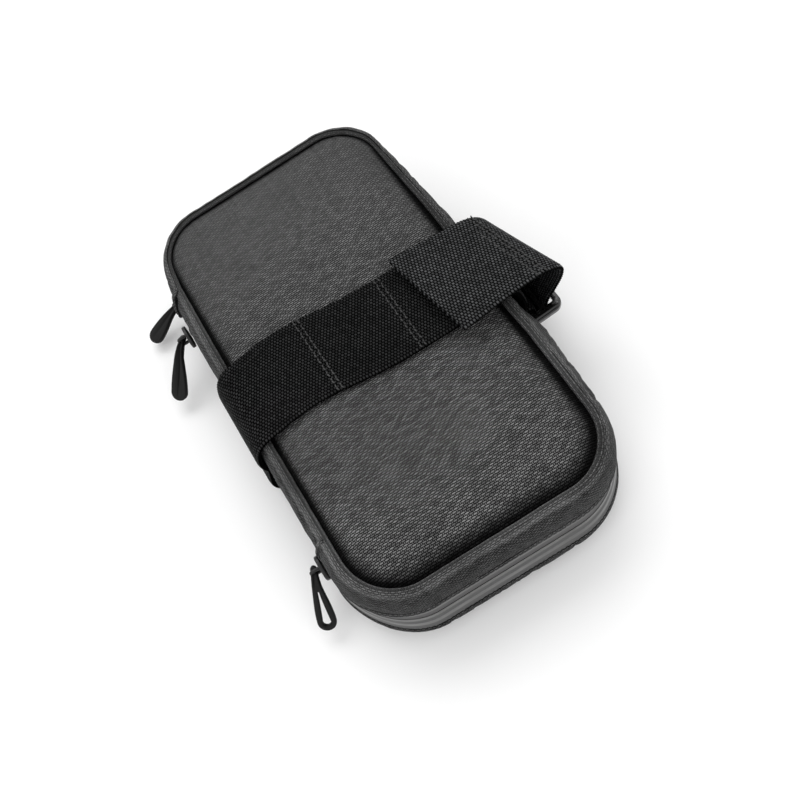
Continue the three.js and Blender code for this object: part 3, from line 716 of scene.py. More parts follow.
# ---- top panel ----
def rounded_grid(out, step):
    """A grid over the panel, its corners drawn in to the corner radius. Also the distance to the edge."""
    a, b, r = HALF_WIDTH + out, HALF_LENGTH + out, CORNER + out
    columns, rows = int(2 * a / step) | 1, int(2 * b / step) | 1
    x, y = np.meshgrid(np.linspace(-a, a, columns), np.linspace(-b, b, rows))
    dx, dy = np.maximum(np.abs(x) - (a - r), 0), np.maximum(np.abs(y) - (b - r), 0)
    x = np.sign(x) * (np.minimum(np.abs(x), a - r) + dx * np.sqrt(1 - dy**2 / (2 * r * r)))
    y = np.sign(y) * (np.minimum(np.abs(y), b - r) + dy * np.sqrt(1 - dx**2 / (2 * r * r)))
    qx, qy = np.abs(x) - (a - r), np.abs(y) - (b - r)
    edge = r - np.hypot(np.maximum(qx, 0), np.maximum(qy, 0)) - np.minimum(np.maximum(qx, qy), 0)
    return x, y, np.maximum(edge, 0)


def facing_up(x, y, z):
    """A panel grid's points, in the order that turns its front up."""
    return np.stack([x, y, z], axis=-1).transpose(1, 0, 2)[:, ::-1]


def soft_waves(x, y, size, seed):
    """Gentle unevenness over a grid."""
    rows = zip(x, y)
    return np.array([[noise.noise(Vector((a / size, b / size, seed))) for a, b in zip(*row)] for row in rows])


SEAM_ALLOWANCE = 2.5


def strap_bow(x, z=STRAP_TOP_Z):
    """How far the strap wanders towards the far end where it crosses the panel."""
    return 3.4 * np.exp(-(((x + 24) / 20) ** 2)) * smooth_share(z, 22, 36)


def top_panel():
    x, y, edge = rounded_grid(0.6 + SEAM_ALLOWANCE, 1.15)
    edge = edge - SEAM_ALLOWANCE  # what lies beyond the seam runs flat under the rolled edge
    rise = 1 - (1 - np.clip(edge / 8.0, 0, 1)) ** 2.4
    z = 34.1 + 4.15 * rise
    z += 0.45 * np.cos(x / HALF_WIDTH * math.pi / 2) * np.cos(y / HALF_LENGTH * math.pi / 2)
    under_strap = np.clip(1.35 - np.abs(y - STRAP_Y - strap_bow(x)) / (STRAP_WIDTH / 2), 0, 1)
    grid = facing_up(x, y, z)
    sewn = np.where(edge < 1.3, 1.0, 0.0)
    sewn = np.maximum(sewn, np.where(under_strap > 0.3, 0.9, 0.0)).T[:, ::-1]
    grid = puffed(grid, sewn, 2.0, 0.01, 0.5)
    soft = np.clip(edge / 10, 0, 1).T[:, ::-1]
    dips = np.array([[noise.fractal(Vector((p[0] / 26, p[1] / 26, 3.0)), 1, 2, 3) for p in row] for row in grid])
    grid[..., 2] += dips * 0.28 * soft - 0.5 * under_strap.T[:, ::-1]
    dent_x, dent_y = (grid[..., 0] - 26) / 10, (grid[..., 1] + 24) / 6
    grid[..., 2] -= 0.9 * np.exp(-(dent_x**2) - dent_y**2)
    return sheet_piece("top_panel", grid, 1.1, PANEL_NYLON)


# ---- the sides ----
FULL = seam_track(-SEAM_HALF, SEAM_HALF)


def ring_track():
    """The whole outline as one closed run."""
    points, outs = seam_track(-SEAM_HALF + 1e-3, SEAM_HALF - 1e-3)
    hinge_y = np.arange(SEAM_HALF - TRACK_STEP, -SEAM_HALF, -TRACK_STEP)
    side = np.stack([np.full_like(hinge_y, -HALF_WIDTH), hinge_y], axis=1)
    return np.vstack([points, side]), np.vstack([outs, np.tile((-1.0, 0.0), (len(side), 1))])


UPPER_LINE = smooth_line(
    [[2.6, 37.75], [3.9, 36.9], [4.7, 34.6], [5.6, 31.8], [6.3, 28.6], [6.5, 26], [6.2, 23.6], [6.3, 22.7],
     [5.9, 22.1]], 18
)
UPPER_TAPE_LINE = smooth_line([[5.7, 21.9], [6.2, 20], [6.7, 17.1]], 8)
LOWER_TAPE_LINE = smooth_line([[6.8, 16.9], [7.3, 14.4], [7.8, 12.1]], 8)
LOWER_LINE = smooth_line(
    [[7.5, 12.0], [8.1, 11.3], [7.9, 9], [7.4, 5.5], [6.4, 3], [4.9, 1.1], [3.4, 0.15]], 14
)
HINGE_LINE = smooth_line(
    [[2.6, 37.6], [3.8, 36.7], [4.5, 34.6], [5.1, 32.2], [5.7, 29], [5.9, 26], [5.6, 23.4], [5.1, 22],
     [5.7, 20.4], [6.5, 17], [7.1, 12], [7.3, 9], [7.1, 5.5], [6.4, 3], [4.9, 1.1], [3.4, 0.15]], 40
)


def side_sheet(name, line, track, thick, material, folds, puckers, seed, swelling=True):
    points, outs = track
    grid = swept(points, outs, line, swelling)
    tucked = smooth_share(points[:, 1], 20, 72)[:, None] * smooth_share(line[:, 1], 27, 36)[None]
    grid[..., :2] -= outs[:, None] * (1.3 * tucked)[..., None]
    sewn = np.zeros(grid.shape[:2])
    sewn[:, :2] = sewn[:, -2:] = 1
    sewn[:1] = sewn[-1:] = 1
    grid = puffed(grid, sewn, 3.0, 0.015, 0.6)
    normals = grid_normals(grid, False)
    grid = rumple(grid, normals, folds, 13.0, 16.0, seed)
    grid = gathers(grid, normals, puckers, 6.5, seed)
    return sheet_piece(name, grid, thick, material)


def softened(piece):
    smooth = piece.modifiers.new("soften", "SUBSURF")
    smooth.levels = smooth.render_levels = 1
    return piece


def sides():
    made = {}
    points, outs = FULL
    made["upper_gusset"] = side_sheet("upper_gusset", UPPER_LINE, FULL, 1.1, GUSSET_NYLON, 0.45, 0.1, 1.7)
    made["lower_gusset"] = side_sheet("lower_gusset", LOWER_LINE, FULL, 1.3, GUSSET_NYLON, 0.15, 0.04, 5.3)
    for name, line in (("upper_zip_tape", UPPER_TAPE_LINE), ("lower_zip_tape", LOWER_TAPE_LINE)):
        made[name] = sheet_piece(name, swept(points, outs, line), 0.7, COATED_TAPE)
    turn = coil_shape()
    for name, out, z in (("upper_zip_coil", 5.15, ZIP_Z + 0.75), ("lower_zip_coil", 5.3, ZIP_Z - 0.75)):
        line = swept(points, outs, [[out, z]])[:, 0]
        made[name] = repeated(name, line, turn, COIL_PITCH, COIL_NYLON)
    hinge_y = np.linspace(SEAM_HALF, -SEAM_HALF, 88)
    side = np.stack([np.full_like(hinge_y, -HALF_WIDTH), hinge_y], axis=1)
    out = np.tile((-1.0, 0.0), (len(side), 1))
    made["hinge_panel"] = side_sheet(
        "hinge_panel", HINGE_LINE, (side, out), 1.2, GUSSET_NYLON, 0.4, 0.1, 9.1, swelling=False
    )
    made["top_edge_roll"] = edge_roll()
    made["lid_binding"] = lid_binding()
    return made


def edge_roll():
    """The turned edge of the sides, rolled over beside the groove."""
    points, outs = ring_track()
    turn = np.linspace(0, 2 * math.pi, 14, endpoint=False) + 2.2
    radius = 1.65
    section = np.stack([2.3 + radius * np.cos(turn), 36.2 + radius * np.sin(turn)], axis=1)
    grid = swept(points, outs, section)
    along = lengths(points)
    far = smooth_share(points[:, 1], 20, 72)
    for i, u in enumerate(along):
        middle = grid[i].mean(axis=0)
        grid[i] = middle + (grid[i] - middle) * (1 - 0.32 * far[i])
        grid[i, :, :2] -= outs[i] * far[i]
        swing = noise.fractal(Vector((u / 9, 0.5, 2.0)), 0.9, 2, 3)
        crease = noise.noise(Vector((u / 3.1, 4.0, 0.0)))
        grid[i, :, 2] += 0.16 * swing
        centre = grid[i].mean(axis=0)
        grid[i] = centre + (grid[i] - centre) * (1 + 0.07 * crease + 0.05 * swing)
    count, around = grid.shape[:2]
    faces = []
    for i in range(count):
        a, b = i * around, (i + 1) % count * around
        faces += [(a + k, b + k, b + (k + 1) % around, a + (k + 1) % around) for k in range(around)]
    uv = np.stack(np.meshgrid(along, turn * 1.7, indexing="ij"), axis=-1).reshape(-1, 2)
    roll = mesh_piece("top_edge_roll", grid.reshape(-1, 3), faces, GUSSET_NYLON, uv)
    facing_out(roll)
    return softened(roll)


def lid_binding():
    """The narrow bound edge that runs down both upright seams and along the lid's lower hem."""
    points, outs = seam_track(-SEAM_HALF - 0.6, SEAM_HALF + 0.6)
    hem = swept(points, outs, [[6.6, 22.5]])[:, 0]
    down = smooth_line([[2.0, 38.0], [3.9, 37.0], [5.0, 34], [6.2, 30], [6.8, 26.5], [6.7, 23.8]], 14)
    start = np.stack([-HALF_WIDTH - down[:, 0], np.full(len(down), hem[0, 1]), down[:, 1]], axis=1)
    end = np.stack([-HALF_WIDTH - down[::-1, 0], np.full(len(down), hem[-1, 1]), down[::-1, 1]], axis=1)
    line = np.vstack([start, hem[1:-1], end])
    line = smooth_line(line[::2], int(lengths(line)[-1] / 1.1))
    wave = np.array([noise.noise(Vector((s / 6, 1.0, 7.0))) for s in lengths(line)])
    return softened(curve_tube("lid_binding", line, 0.78 + 0.1 * wave, GUSSET_NYLON))


# ---- webbing ----
def webbing_piece(name, line, half_width, thick, material, skew=None, relief=0.26, selvage=0.32):
    """Ribbed webbing along a centre line of [x, z] points, which `skew` may bend sideways.

    Its floats are in the mesh, and its UVs count them.
    """
    length = lengths(smooth_line(line, 400))[-1]
    ribs, yarns = max(4, round(length / RIB_PITCH)), round(2 * half_width / YARN_PITCH)
    rows, columns = 2 * ribs + 1, 2 * yarns + 1
    uu, vv = np.meshgrid(np.linspace(0, ribs, rows), np.linspace(0, yarns, columns), indexing="ij")
    across = np.linspace(-half_width, half_width, columns)
    centre = smooth_line(line, rows)
    grid = np.zeros((rows, columns, 3))
    grid[..., 0], grid[..., 2] = centre[:, None, 0], centre[:, None, 1]
    grid[..., 1] = STRAP_Y + across[None]
    if skew is not None:
        grid = skew(grid)
    normals = grid_normals(grid, False)
    stagger = 0.5 * (np.floor(vv + 1e-6) % 2)
    bump = np.abs(np.sin(math.pi * (uu + stagger)) * np.sin(math.pi * vv)) * relief
    # The weft turns back at each selvage, which leaves small loops.
    teeth = selvage * np.abs(np.sin(math.pi * uu[:, :1]))
    sideways = grid[:, 1] - grid[:, 0]
    sideways /= np.linalg.norm(sideways, axis=1, keepdims=True)
    grid[:, 0] -= sideways * teeth
    grid[:, -1] += sideways * teeth
    edge_dip = 1 - 0.5 * np.clip((np.abs(across) - half_width + 1), 0, 1)
    reach = (thick / 2 * edge_dip[None] + bump)[..., None]
    verts = np.concatenate([(grid + normals * reach).reshape(-1, 3), (grid - normals * reach).reshape(-1, 3)])
    uv = np.stack([uu * RIB_PITCH, vv * YARN_PITCH], axis=-1).reshape(-1, 2)
    return mesh_piece(name, verts, sheet_faces(rows, columns, False), material, np.concatenate([uv, uv]))


STRAP_LINE = [
    [50.6, 19.6], [51.4, 22], [51.6, 26], [50.6, 31], [48.8, 36], [46, 38.9], [41, 40], [25, 39.9], [0, 39.9],
    [-25, 39.9], [-41.5, 39.9], [-45.6, 38.9], [-48.0, 36.2], [-49.3, 32.5], [-50.0, 28.5], [-49.8, 25.5],
    [-49.2, 22.3], [-50.1, 17], [-51.0, 12], [-51.0, 7], [-49.3, 3.1], [-45.5, 1.15], [-40, 1.05], [-20, 1.05],
]
BASE_STRAP_LINE = [
    [-20, 1.05], [0, 1.05], [20, 1.05], [40, 1.05], [46, 1.2], [51, 2.3], [55.5, 4.4], [58.8, 7.6], [60.2, 11.6],
]


def bowed(grid):
    """The strap's grid, wandering as it crosses the panel."""
    grid[..., 1] += strap_bow(grid[..., 0], grid[..., 2])
    return grid


def strap():
    """The strap's pieces: one from the buckle over the top and down the hinge side, one under the base."""
    body = webbing_piece("strap_body", STRAP_LINE, STRAP_WIDTH / 2, 1.6, WEBBING, skew=bowed)
    base = webbing_piece("strap_base_run", BASE_STRAP_LINE, STRAP_WIDTH / 2, 1.6, WEBBING)
    eye = webbing_eye()
    return body, base, eye


def webbing_eye():
    """The strap's end, turned round the buckle's bar and sewn back on itself."""
    turn = np.radians(np.linspace(150, -215, 15))
    low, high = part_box("buckle_frame")
    bar = ((low.x / MM) + 1.25, (low.z + high.z) / 2 / MM - 0.8)
    line = [[bar[0] + 2.85 * math.cos(a), bar[1] + 2.85 * math.sin(a)] for a in turn]
    return webbing_piece("strap_buckle_eye", line, STRAP_WIDTH / 2, 1.4, WEBBING)


# The tail: its two edges as [x, y, z], from the buckle's slot over the crest to the free end.
TAIL_FAR_EDGE = [
    [60.2, 12.5, 12.1], [60.0, 12.5, 18], [58.8, 12.3, 25], [56.6, 12.0, 32], [54.0, 11.6, 38],
    [52.0, 11.4, 40.9], [49.4, 11.5, 42.6], [45.6, 11.9, 43.6], [38, 12.1, 44.2], [29, 12.6, 44.5], [19.9, 13.1, 44.7],
]
TAIL_NEAR_EDGE = [
    [60.0, -17.5, 12.1], [60.3, -17.6, 19.5], [62.4, -18.0, 25.5], [64.0, -18.6, 32], [64.0, -19.0, 37.4],
    [62.6, -19.2, 40.4], [59.6, -19.2, 42.4], [55, -19.2, 43.6], [46, -19.8, 44.3], [36, -20.8, 44.6], [26.4, -22.0, 44.8],
]


def strap_tail():
    far, near = np.array(TAIL_FAR_EDGE, float), np.array(TAIL_NEAR_EDGE, float)

    def skew(grid):
        rows, columns, _ = grid.shape
        a, b = smooth_line(near, rows), smooth_line(far, rows)
        share = np.linspace(0, 1, columns)[None, :, None]
        made = a[:, None] * (1 - share) + b[:, None] * share
        sag = np.sin(math.pi * np.linspace(0, 1, rows)) ** 2
        made[..., 2] -= 0.25 * sag[:, None] * np.sin(math.pi * share[..., 0])
        return made

    middle = (far + near) / 2
    half_width = 16.2
    return webbing_piece(
        "strap_tail", middle[:, [0, 2]], half_width, 1.4, TAIL_WEBBING_PAINTED_LIT, skew=skew, relief=0.17, selvage=0.3
    )


# ---- buckle ----
def outline_plate(name, outer, holes, depth, bevel, material, resolution=4):
    """A plate with rounded edges from a closed outline and its holes, about z = 0."""
    curve = bpy.data.curves.new(name, "CURVE")
    curve.dimensions = "2D"
    curve.fill_mode = "BOTH"
    curve.extrude = (depth / 2 - bevel) * MM
    curve.bevel_depth = bevel * MM
    curve.bevel_resolution = resolution
    curve.offset = -bevel * MM
    for points in (outer, *holes):
        spline = curve.splines.new("POLY")
        spline.points.add(len(points) - 1)
        for point, (x, y) in zip(spline.points, points):
            point.co = (x * MM, y * MM, 0, 1)
        spline.use_cyclic_u = True
    holder = bpy.data.objects.new(name, curve)
    SCENE.collection.objects.link(holder)
    bpy.context.view_layer.update()
    mesh = bpy.data.meshes.new_from_object(holder.evaluated_get(bpy.context.evaluated_depsgraph_get()))
    bpy.data.objects.remove(holder)
    work = bmesh.new()
    work.from_mesh(mesh)
    bmesh.ops.remove_doubles(work, verts=work.verts, dist=1e-6)
    bmesh.ops.recalc_face_normals(work, faces=work.faces)
    work.to_mesh(mesh)
    work.free()
    mesh.materials.clear()
    mesh.materials.append(material)
    mesh.shade_smooth()
    made = bpy.data.objects.new(name, mesh)
    SCENE.collection.objects.link(made)
    mesh.set_sharp_from_angle(angle=math.radians(50))
    return made


def rounded_rectangle(x0, x1, y0, y1, radii, steps=8):
    """A closed outline; radii go anticlockwise from the low corner."""
    corners = [(x0, y0, 180), (x1, y0, 270), (x1, y1, 0), (x0, y1, 90)]
    points = []
    for (x, y, start), r in zip(corners, radii):
        cx, cy = x + (r if x == x0 else -r), y + (r if y == y0 else -r)
        for i in range(steps + 1):
            a = math.radians(start + 90 * i / steps)
            points.append((cx + r * math.cos(a), cy + r * math.sin(a)))
    return points


BUCKLE_BAR = (52.6, 17.0)
BUCKLE_TILT = 8.0


def buckle():
    """A moulded frame with a thick chamfered rim, two slots and a cross bar between them."""
    low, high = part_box("buckle_frame")
    half = (high.y - low.y) / 2 / MM
    slot = 15.9
    outer = rounded_rectangle(-1.2, 11.8, -half, half, (1.0, 3.4, 3.4, 1.0))
    holes = [
        rounded_rectangle(1.1, 4.2, -slot, slot, (0.8,) * 4)[::-1],
        rounded_rectangle(6.2, 9.6, -slot, slot, (0.8,) * 4)[::-1],
    ]
    plate = outline_plate("buckle_frame_moulding", outer, holes, 2.4, 0.45, BUCKLE_ACETAL)
    for end in (-1, 1):
        ear = rounded_rectangle(0.4, 10.9, *sorted((end * (slot + 0.9), end * (half - 0.7))), (1.0,) * 4)
        pad = outline_plate("buckle_ear", ear, [], 3.2, 0.6, BUCKLE_ACETAL)
        plate = joined("buckle_frame_moulding", plate, pad)
    place = Matrix.Translation(Vector((BUCKLE_BAR[0], STRAP_Y, BUCKLE_BAR[1])) * MM) @ Matrix.Rotation(
        math.radians(-BUCKLE_TILT), 4, "Y"
    )
    plate.data.transform(place)
    return plate


# ---- zip sliders and pulls ----
PIN_OUT = 3.9
POCKET_TURN = math.radians(160)  # where the third slider stands on the far corner
POCKET_RADIUS = 22.4
ZIP_ENDS = {
    "near": dict(at=(-49.8, -54.0, ZIP_Z), facing=180.0, heading=249.0, length=21.0, droop=39.0, slit=True),
    "far": dict(at=(-49.8, 48.0, ZIP_Z), facing=180.0, heading=226.0, length=23.0, droop=37.0, slit=False),
    "pocket": dict(
        at=(-25 + POCKET_RADIUS * math.cos(POCKET_TURN), 60.5 + POCKET_RADIUS * math.sin(POCKET_TURN), 7.6),
        facing=160.0, heading=199.0, length=17.0, droop=17.0, slit=False,
    ),
}


def zip_end(prefix, at, facing, heading, length, droop, slit):
    """A cast slider with its bridge, and the soft pull on the bridge's pin."""
    outline = [
        (-4.2, -1.5), (-2.8, -3.1), (0, -3.3), (2.6, -2.7), (4.2, -1.5), (4.4, 0), (4.2, 1.5), (2.6, 2.7), (0, 3.3),
        (-2.8, 3.1), (-4.2, 1.5), (-4.4, 0),
    ]
    rounded = smooth_line([*outline, outline[0]], 40)[:-1]
    plate = outline_plate(f"{prefix}_slider_body", rounded[::-1], [], 1.5, 0.45, SLIDER_ZINC, 3)
    plate.data.transform(Matrix.Rotation(math.pi / 2, 4, "Z") @ Matrix.Rotation(math.pi / 2, 4, "X"))
    plate.data.transform(Matrix.Translation(Vector((0.85, 0, 0)) * MM))
    lugs = [
        [1.2, 0, 1.95], [3.0, 0, 2.15], [4.3, 0, 1.9], [4.75, 0, 1.1], [4.75, 0, -1.1], [4.3, 0, -1.9],
        [3.0, 0, -2.15], [1.2, 0, -1.95],
    ]
    bridge = curve_tube(f"{prefix}_bridge", smooth_line(lugs, 26), 0.62, SLIDER_ZINC, sides=10)
    pin_line = [[PIN_OUT, 0, z] for z in (-2, 0, 2)]
    pin = curve_tube(f"{prefix}_pin", pin_line, 0.6, SLIDER_ZINC, sides=10)
    body = joined(f"{prefix}_slider_body", plate, bridge, pin)
    spot = Matrix.Translation(Vector(at) * MM)
    body.data.transform(spot @ Matrix.Rotation(math.radians(facing), 4, "Z"))

    neck, belly = 1.15, 3.25
    s = np.linspace(0, 1, 15)
    half = neck + (belly - neck) * (3 * s**2 - 2 * s**3)
    run = -1.6 + (length - belly + 1.6) * s
    edge = [(x, y) for x, y in zip(run, half)]
    tip = [((length - belly) + belly * math.cos(a), belly * math.sin(a)) for a in np.linspace(1.45, -1.45, 13)]
    root = [(-2.3, -0.6), (-2.5, 0), (-2.3, 0.6)]
    contour = [*edge, *tip, *[(x, -y) for x, y in edge[::-1]], *root]
    holes = []
    if slit:
        shares = np.linspace(0, 1, 9)
        inner = [(length * 0.3 + (length * 0.7 - belly) * u, 0.25 + 1.1 * u**1.3) for u in shares]
        cap = [((length - belly) + 1.35 * math.cos(a), 1.35 * math.sin(a)) for a in np.linspace(1.4, -1.4, 7)]
        holes = [[*inner, *cap, *[(x, -y) for x, y in inner[::-1]]]]
    tongue = outline_plate(f"{prefix}_pull_tab", contour[::-1], holes, 2.2, 0.75, PULL_RUBBER, 4)
    rest = np.zeros(len(tongue.data.vertices) * 3)
    tongue.data.vertices.foreach_get("co", rest)
    rest = rest.reshape(-1, 3) / MM
    # The tongue leaves the pin level and droops over its first few millimetres.
    bend_start, bend_length, drop = 1.0, 6.0, math.radians(droop * 1.06)
    along = np.clip((rest[:, 0] - bend_start) / bend_length, 0, None)
    angle = drop * np.clip(along, 0, 1)
    radius = bend_length / drop
    bent = rest.copy()
    curved = rest[:, 0] > bend_start
    arc_x = bend_start + radius * np.sin(angle) + rest[:, 2] * np.sin(angle)
    arc_z = radius * (np.cos(angle) - 1) + rest[:, 2] * np.cos(angle)
    beyond = np.clip(rest[:, 0] - bend_start - bend_length, 0, None)
    bent[curved, 0] = (arc_x + beyond * math.cos(drop))[curved]
    bent[curved, 2] = (arc_z - beyond * math.sin(drop))[curved]
    tongue.data.vertices.foreach_set("co", (bent * MM).ravel())
    outwards = math.radians(facing)
    pin_at = Vector((PIN_OUT * math.cos(outwards), PIN_OUT * math.sin(outwards), 0)) * MM
    tongue.data.transform(spot @ Matrix.Translation(pin_at) @ Matrix.Rotation(math.radians(heading), 4, "Z"))
    return body, tongue


# ---- base and inside ----
def soft_layer(name, out, z_low, z_high, material, crown=0.4, step=2.4, seed=1.0):
    """A foam or fabric layer: a closed form with soft edges and a slightly uneven face."""
    x, y, edge = rounded_grid(out, step)
    round_off = (1 - np.clip(edge / 2.5, 0, 1)) ** 2
    waves = soft_waves(x, y, 20, seed)
    thick = z_high - z_low
    top = z_high - round_off * thick * 0.35 - crown * 0.5 * (1 - waves) * np.clip(edge / 4, 0, 1)
    low = z_low + round_off * thick * 0.35
    front, back = facing_up(x, y, top), facing_up(x, y, low)
    rows, columns, _ = front.shape
    uv = front[..., :2].reshape(-1, 2)
    verts = np.concatenate([front.reshape(-1, 3), back.reshape(-1, 3)])
    return mesh_piece(name, verts, sheet_faces(rows, columns, False), material, np.concatenate([uv, uv]))


def base_panel():
    """The base sheet, raised over the strap's channel."""
    x, y, edge = rounded_grid(1.3, 1.6)
    over = np.abs(y - STRAP_Y) - (STRAP_WIDTH / 2 + 0.4)
    lift = 1 / (1 + np.exp(np.clip((over - 0.9) / 0.35, -30, 30)))
    waves = soft_waves(x, y, 22, 8.0)
    z = 1.1 + 0.15 * waves * np.clip(edge / 5, 0, 1) + 2.3 * lift
    z += 0.5 * (1 - np.clip(edge / 3, 0, 1)) ** 2
    grid = facing_up(x, y, z)
    return sheet_piece("base_panel", grid, 0.9, PANEL_NYLON)


def lining_shell(name, out, z_face, z_rim, material):
    """A lining: a face sheet and the wall that hangs from its edge."""
    face = soft_layer(name, out - 0.7, z_face, z_face + 0.5, material, crown=0.3, seed=z_face)
    points, outs = ring_track()
    direction = 1 if z_rim > z_face else -1
    line = smooth_line([[out - 0.6, z_face], [out, z_face + 1.5 * direction], [out, z_rim]], 9)
    if direction > 0:
        line = line[::-1]
    grid = swept(points, outs, line)
    normals = grid_normals(grid, True)
    rows, columns = grid.shape[:2]
    u = lengths(grid[:, 0])
    wave = np.array([noise.fractal(Vector((a / 12, 0.0, z_face)), 1, 2, 3) for a in u])
    grid += normals * (wave[:, None] * np.sin(np.linspace(0, math.pi, columns))[None] * 0.25)[..., None]
    wall = sheet_piece(name + "_wall", grid, 0.45, material, closed=True)
    return joined(name, face, wall)


def pocket_netting():
    """Knitted mesh: a diamond net."""
    low, high = (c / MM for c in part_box("lid_mesh_pocket"))
    work = bmesh.new()
    pitch = 2.0
    inset = 1.2
    x0, x1, y0, y1 = low.x + inset, high.x - inset, low.y + inset, high.y - 0.6
    columns, rows = int((x1 - x0) / pitch), int((y1 - y0) / pitch)
    z = (low.z + high.z) / 2

    def inside(x, y):
        qx, qy = abs(x) - (x1 - CORNER + 1), abs(y) - (-y0 - CORNER + 1)
        return not (qx > 0 and y < 0 and qy > 0 and math.hypot(qx, qy) > CORNER - 1)

    verts = {}
    for i in range(2 * columns + 1):
        for j in range(2 * rows + 1):
            x, y = x0 + (x1 - x0) * i / (2 * columns), y0 + (y1 - y0) * j / (2 * rows)
            if inside(x, y):
                verts[i, j] = work.verts.new((x * MM, y * MM, z * MM))
    for i in range(2 * columns + 1):
        for j in range(2 * rows + 1):
            if (i + j) % 2:
                ring = [(i - 1, j), (i, j - 1), (i + 1, j), (i, j + 1)]
                if all(k in verts for k in ring):
                    work.faces.new([verts[k] for k in ring])
    loose = [v for v in work.verts if not v.link_faces]
    bmesh.ops.delete(work, geom=loose, context="VERTS")
    mesh = bpy.data.meshes.new("lid_mesh_pocket_net")
    work.to_mesh(mesh)
    work.free()
    net = bpy.data.objects.new("lid_mesh_pocket_net", mesh)
    SCENE.collection.objects.link(net)
    wire = net.modifiers.new("strands", "WIREFRAME")
    wire.thickness = 0.5 * MM
    wire.use_boundary = True
    shown = bpy.data.meshes.new_from_object(net.evaluated_get(bpy.context.evaluated_depsgraph_get()))
    net.modifiers.clear()
    net.data = shown
    shown.materials.append(ELASTIC)
    return net


def pocket_zip():
    """The base pocket's zip, round the far corner on the hinge side and across the far end."""
    points, outs = FULL
    crossing = (points[:, 1] > 62) & (points[:, 0] < 30)
    points, outs = points[crossing], outs[crossing]
    line = smooth_line([[8.2, 9.9], [8.5, 8.9], [8.55, 7.6], [8.4, 6.3], [8.0, 5.3]], 9)
    tape = sheet_piece("pocket_zip_tape_soft", swept(points, outs, line), 1.3, COATED_TAPE)
    middle = swept(points, outs, [[8.45, 7.6]])[:, 0]
    coil = repeated("pocket_zip_coil", middle, coil_shape(), COIL_PITCH, COIL_NYLON)
    return joined("pocket_zip_tape_soft", tape, coil)


def pocket_elastic():
    """The net pocket's elastic hem, drawn up into small waves."""
    low, high = (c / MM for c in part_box("lid_pocket_elastic"))
    x, y = np.meshgrid(np.linspace(low.x, high.x, 161), np.linspace(low.y, high.y, 9), indexing="ij")
    waves = 0.16 * np.sin(2 * math.pi * x / 3.1) * np.cos(2 * math.pi * (y - low.y) / 9.0)
    cords = 0.09 * np.abs(np.sin(math.pi * (y - low.y) / 1.75))
    grid = np.stack([x, y, low.z + 0.3 + waves - cords], axis=-1)
    return sheet_piece("lid_pocket_hem", grid, 0.7, ELASTIC)


# ---- stitches ----
def strap_stitches():
    """The two double rows across the sewn strap."""
    made = []
    stitch = stitch_shape(2.1)
    z = 41.0
    for number, (x0, y0, x1, y1) in enumerate(((-16.3, 11.5, -15.9, -16.5), (13.0, 11.5, 13.2, -16.5))):
        for offset in (0.0, 1.6):
            middle = (x0 + x1) / 2
            line = smooth_line([[x0 + offset, y0, z], [middle + offset, 0, z], [x1 + offset, y1, z]], 40)
            line[:, 1] += strap_bow(line[:, 0])
            name = f"strap_stitch_{number}_{int(offset)}"
            made.append(repeated(name, line, stitch, 2.7, THREAD, 0.16, number + 1))
    return joined("strap_stitching", *made)


def tail_stitches():
    stitch = stitch_shape(2.2)
    rows = []
    for number, shift in enumerate((0.0, 1.2, 3.2)):
        a = np.array([50.4 - shift, 10.6, 43.4 + 0.12 * shift])
        b = np.array([57.6 - shift, -18.2, 43.9 + 0.12 * shift])
        line = [a + (b - a) * s for s in np.linspace(0, 1, 30)]
        rows.append(repeated(f"tail_stitch_{number}", line, stitch, 2.6, THREAD, 0.16, number + 5))
    return joined("tail_stitching", *rows)


# ---- hook and loop ----
def tape_pile(name, node, height, spacing, up, material, seed):
    """A hook or loop tape: its woven ground with rows of small loops on the gripping face."""
    low, high = (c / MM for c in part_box(node))
    ground_z = (low.z, low.z + 0.3) if up else (high.z - 0.3, high.z)
    x = np.linspace(low.x, high.x, 16)
    y = np.linspace(low.y, high.y, 22)
    xx, yy = np.meshgrid(x, y, indexing="ij")
    top = np.full_like(xx, ground_z[1])
    grid = np.stack([xx, yy, top], axis=-1)[:, ::-1]
    ground = sheet_piece(name, grid, 0.3, material)
    a = np.linspace(0, math.pi, 6)
    sign = 1 if up else -1
    arch = np.stack([np.zeros(6), 0.32 * np.cos(a), sign * height * np.sin(a)], axis=1)
    loop = curve_tube("pile_loop", arch, 0.11, material, sides=5)
    hidden_shape(loop)
    base = ground_z[1] if up else ground_z[0]
    work = bmesh.new()
    rng = np.random.default_rng(seed)
    for px in np.arange(low.x + 0.8, high.x - 0.5, spacing):
        for py in np.arange(low.y + 0.8, high.y - 0.5, spacing):
            turn = Matrix.Rotation(rng.uniform(-0.5, 0.5), 4, "Z")
            spot = Matrix.Translation(Vector((px, py, base)) * MM)
            before = len(work.verts)
            work.from_mesh(loop.data)
            work.verts.ensure_lookup_table()
            bmesh.ops.transform(work, matrix=spot @ turn, verts=work.verts[before:])
    mesh = bpy.data.meshes.new(name + "_pile")
    work.to_mesh(mesh)
    work.free()
    mesh.materials.append(material)
    pile = bpy.data.objects.new(name + "_pile", mesh)
    SCENE.collection.objects.link(pile)
    return joined(name, ground, pile)


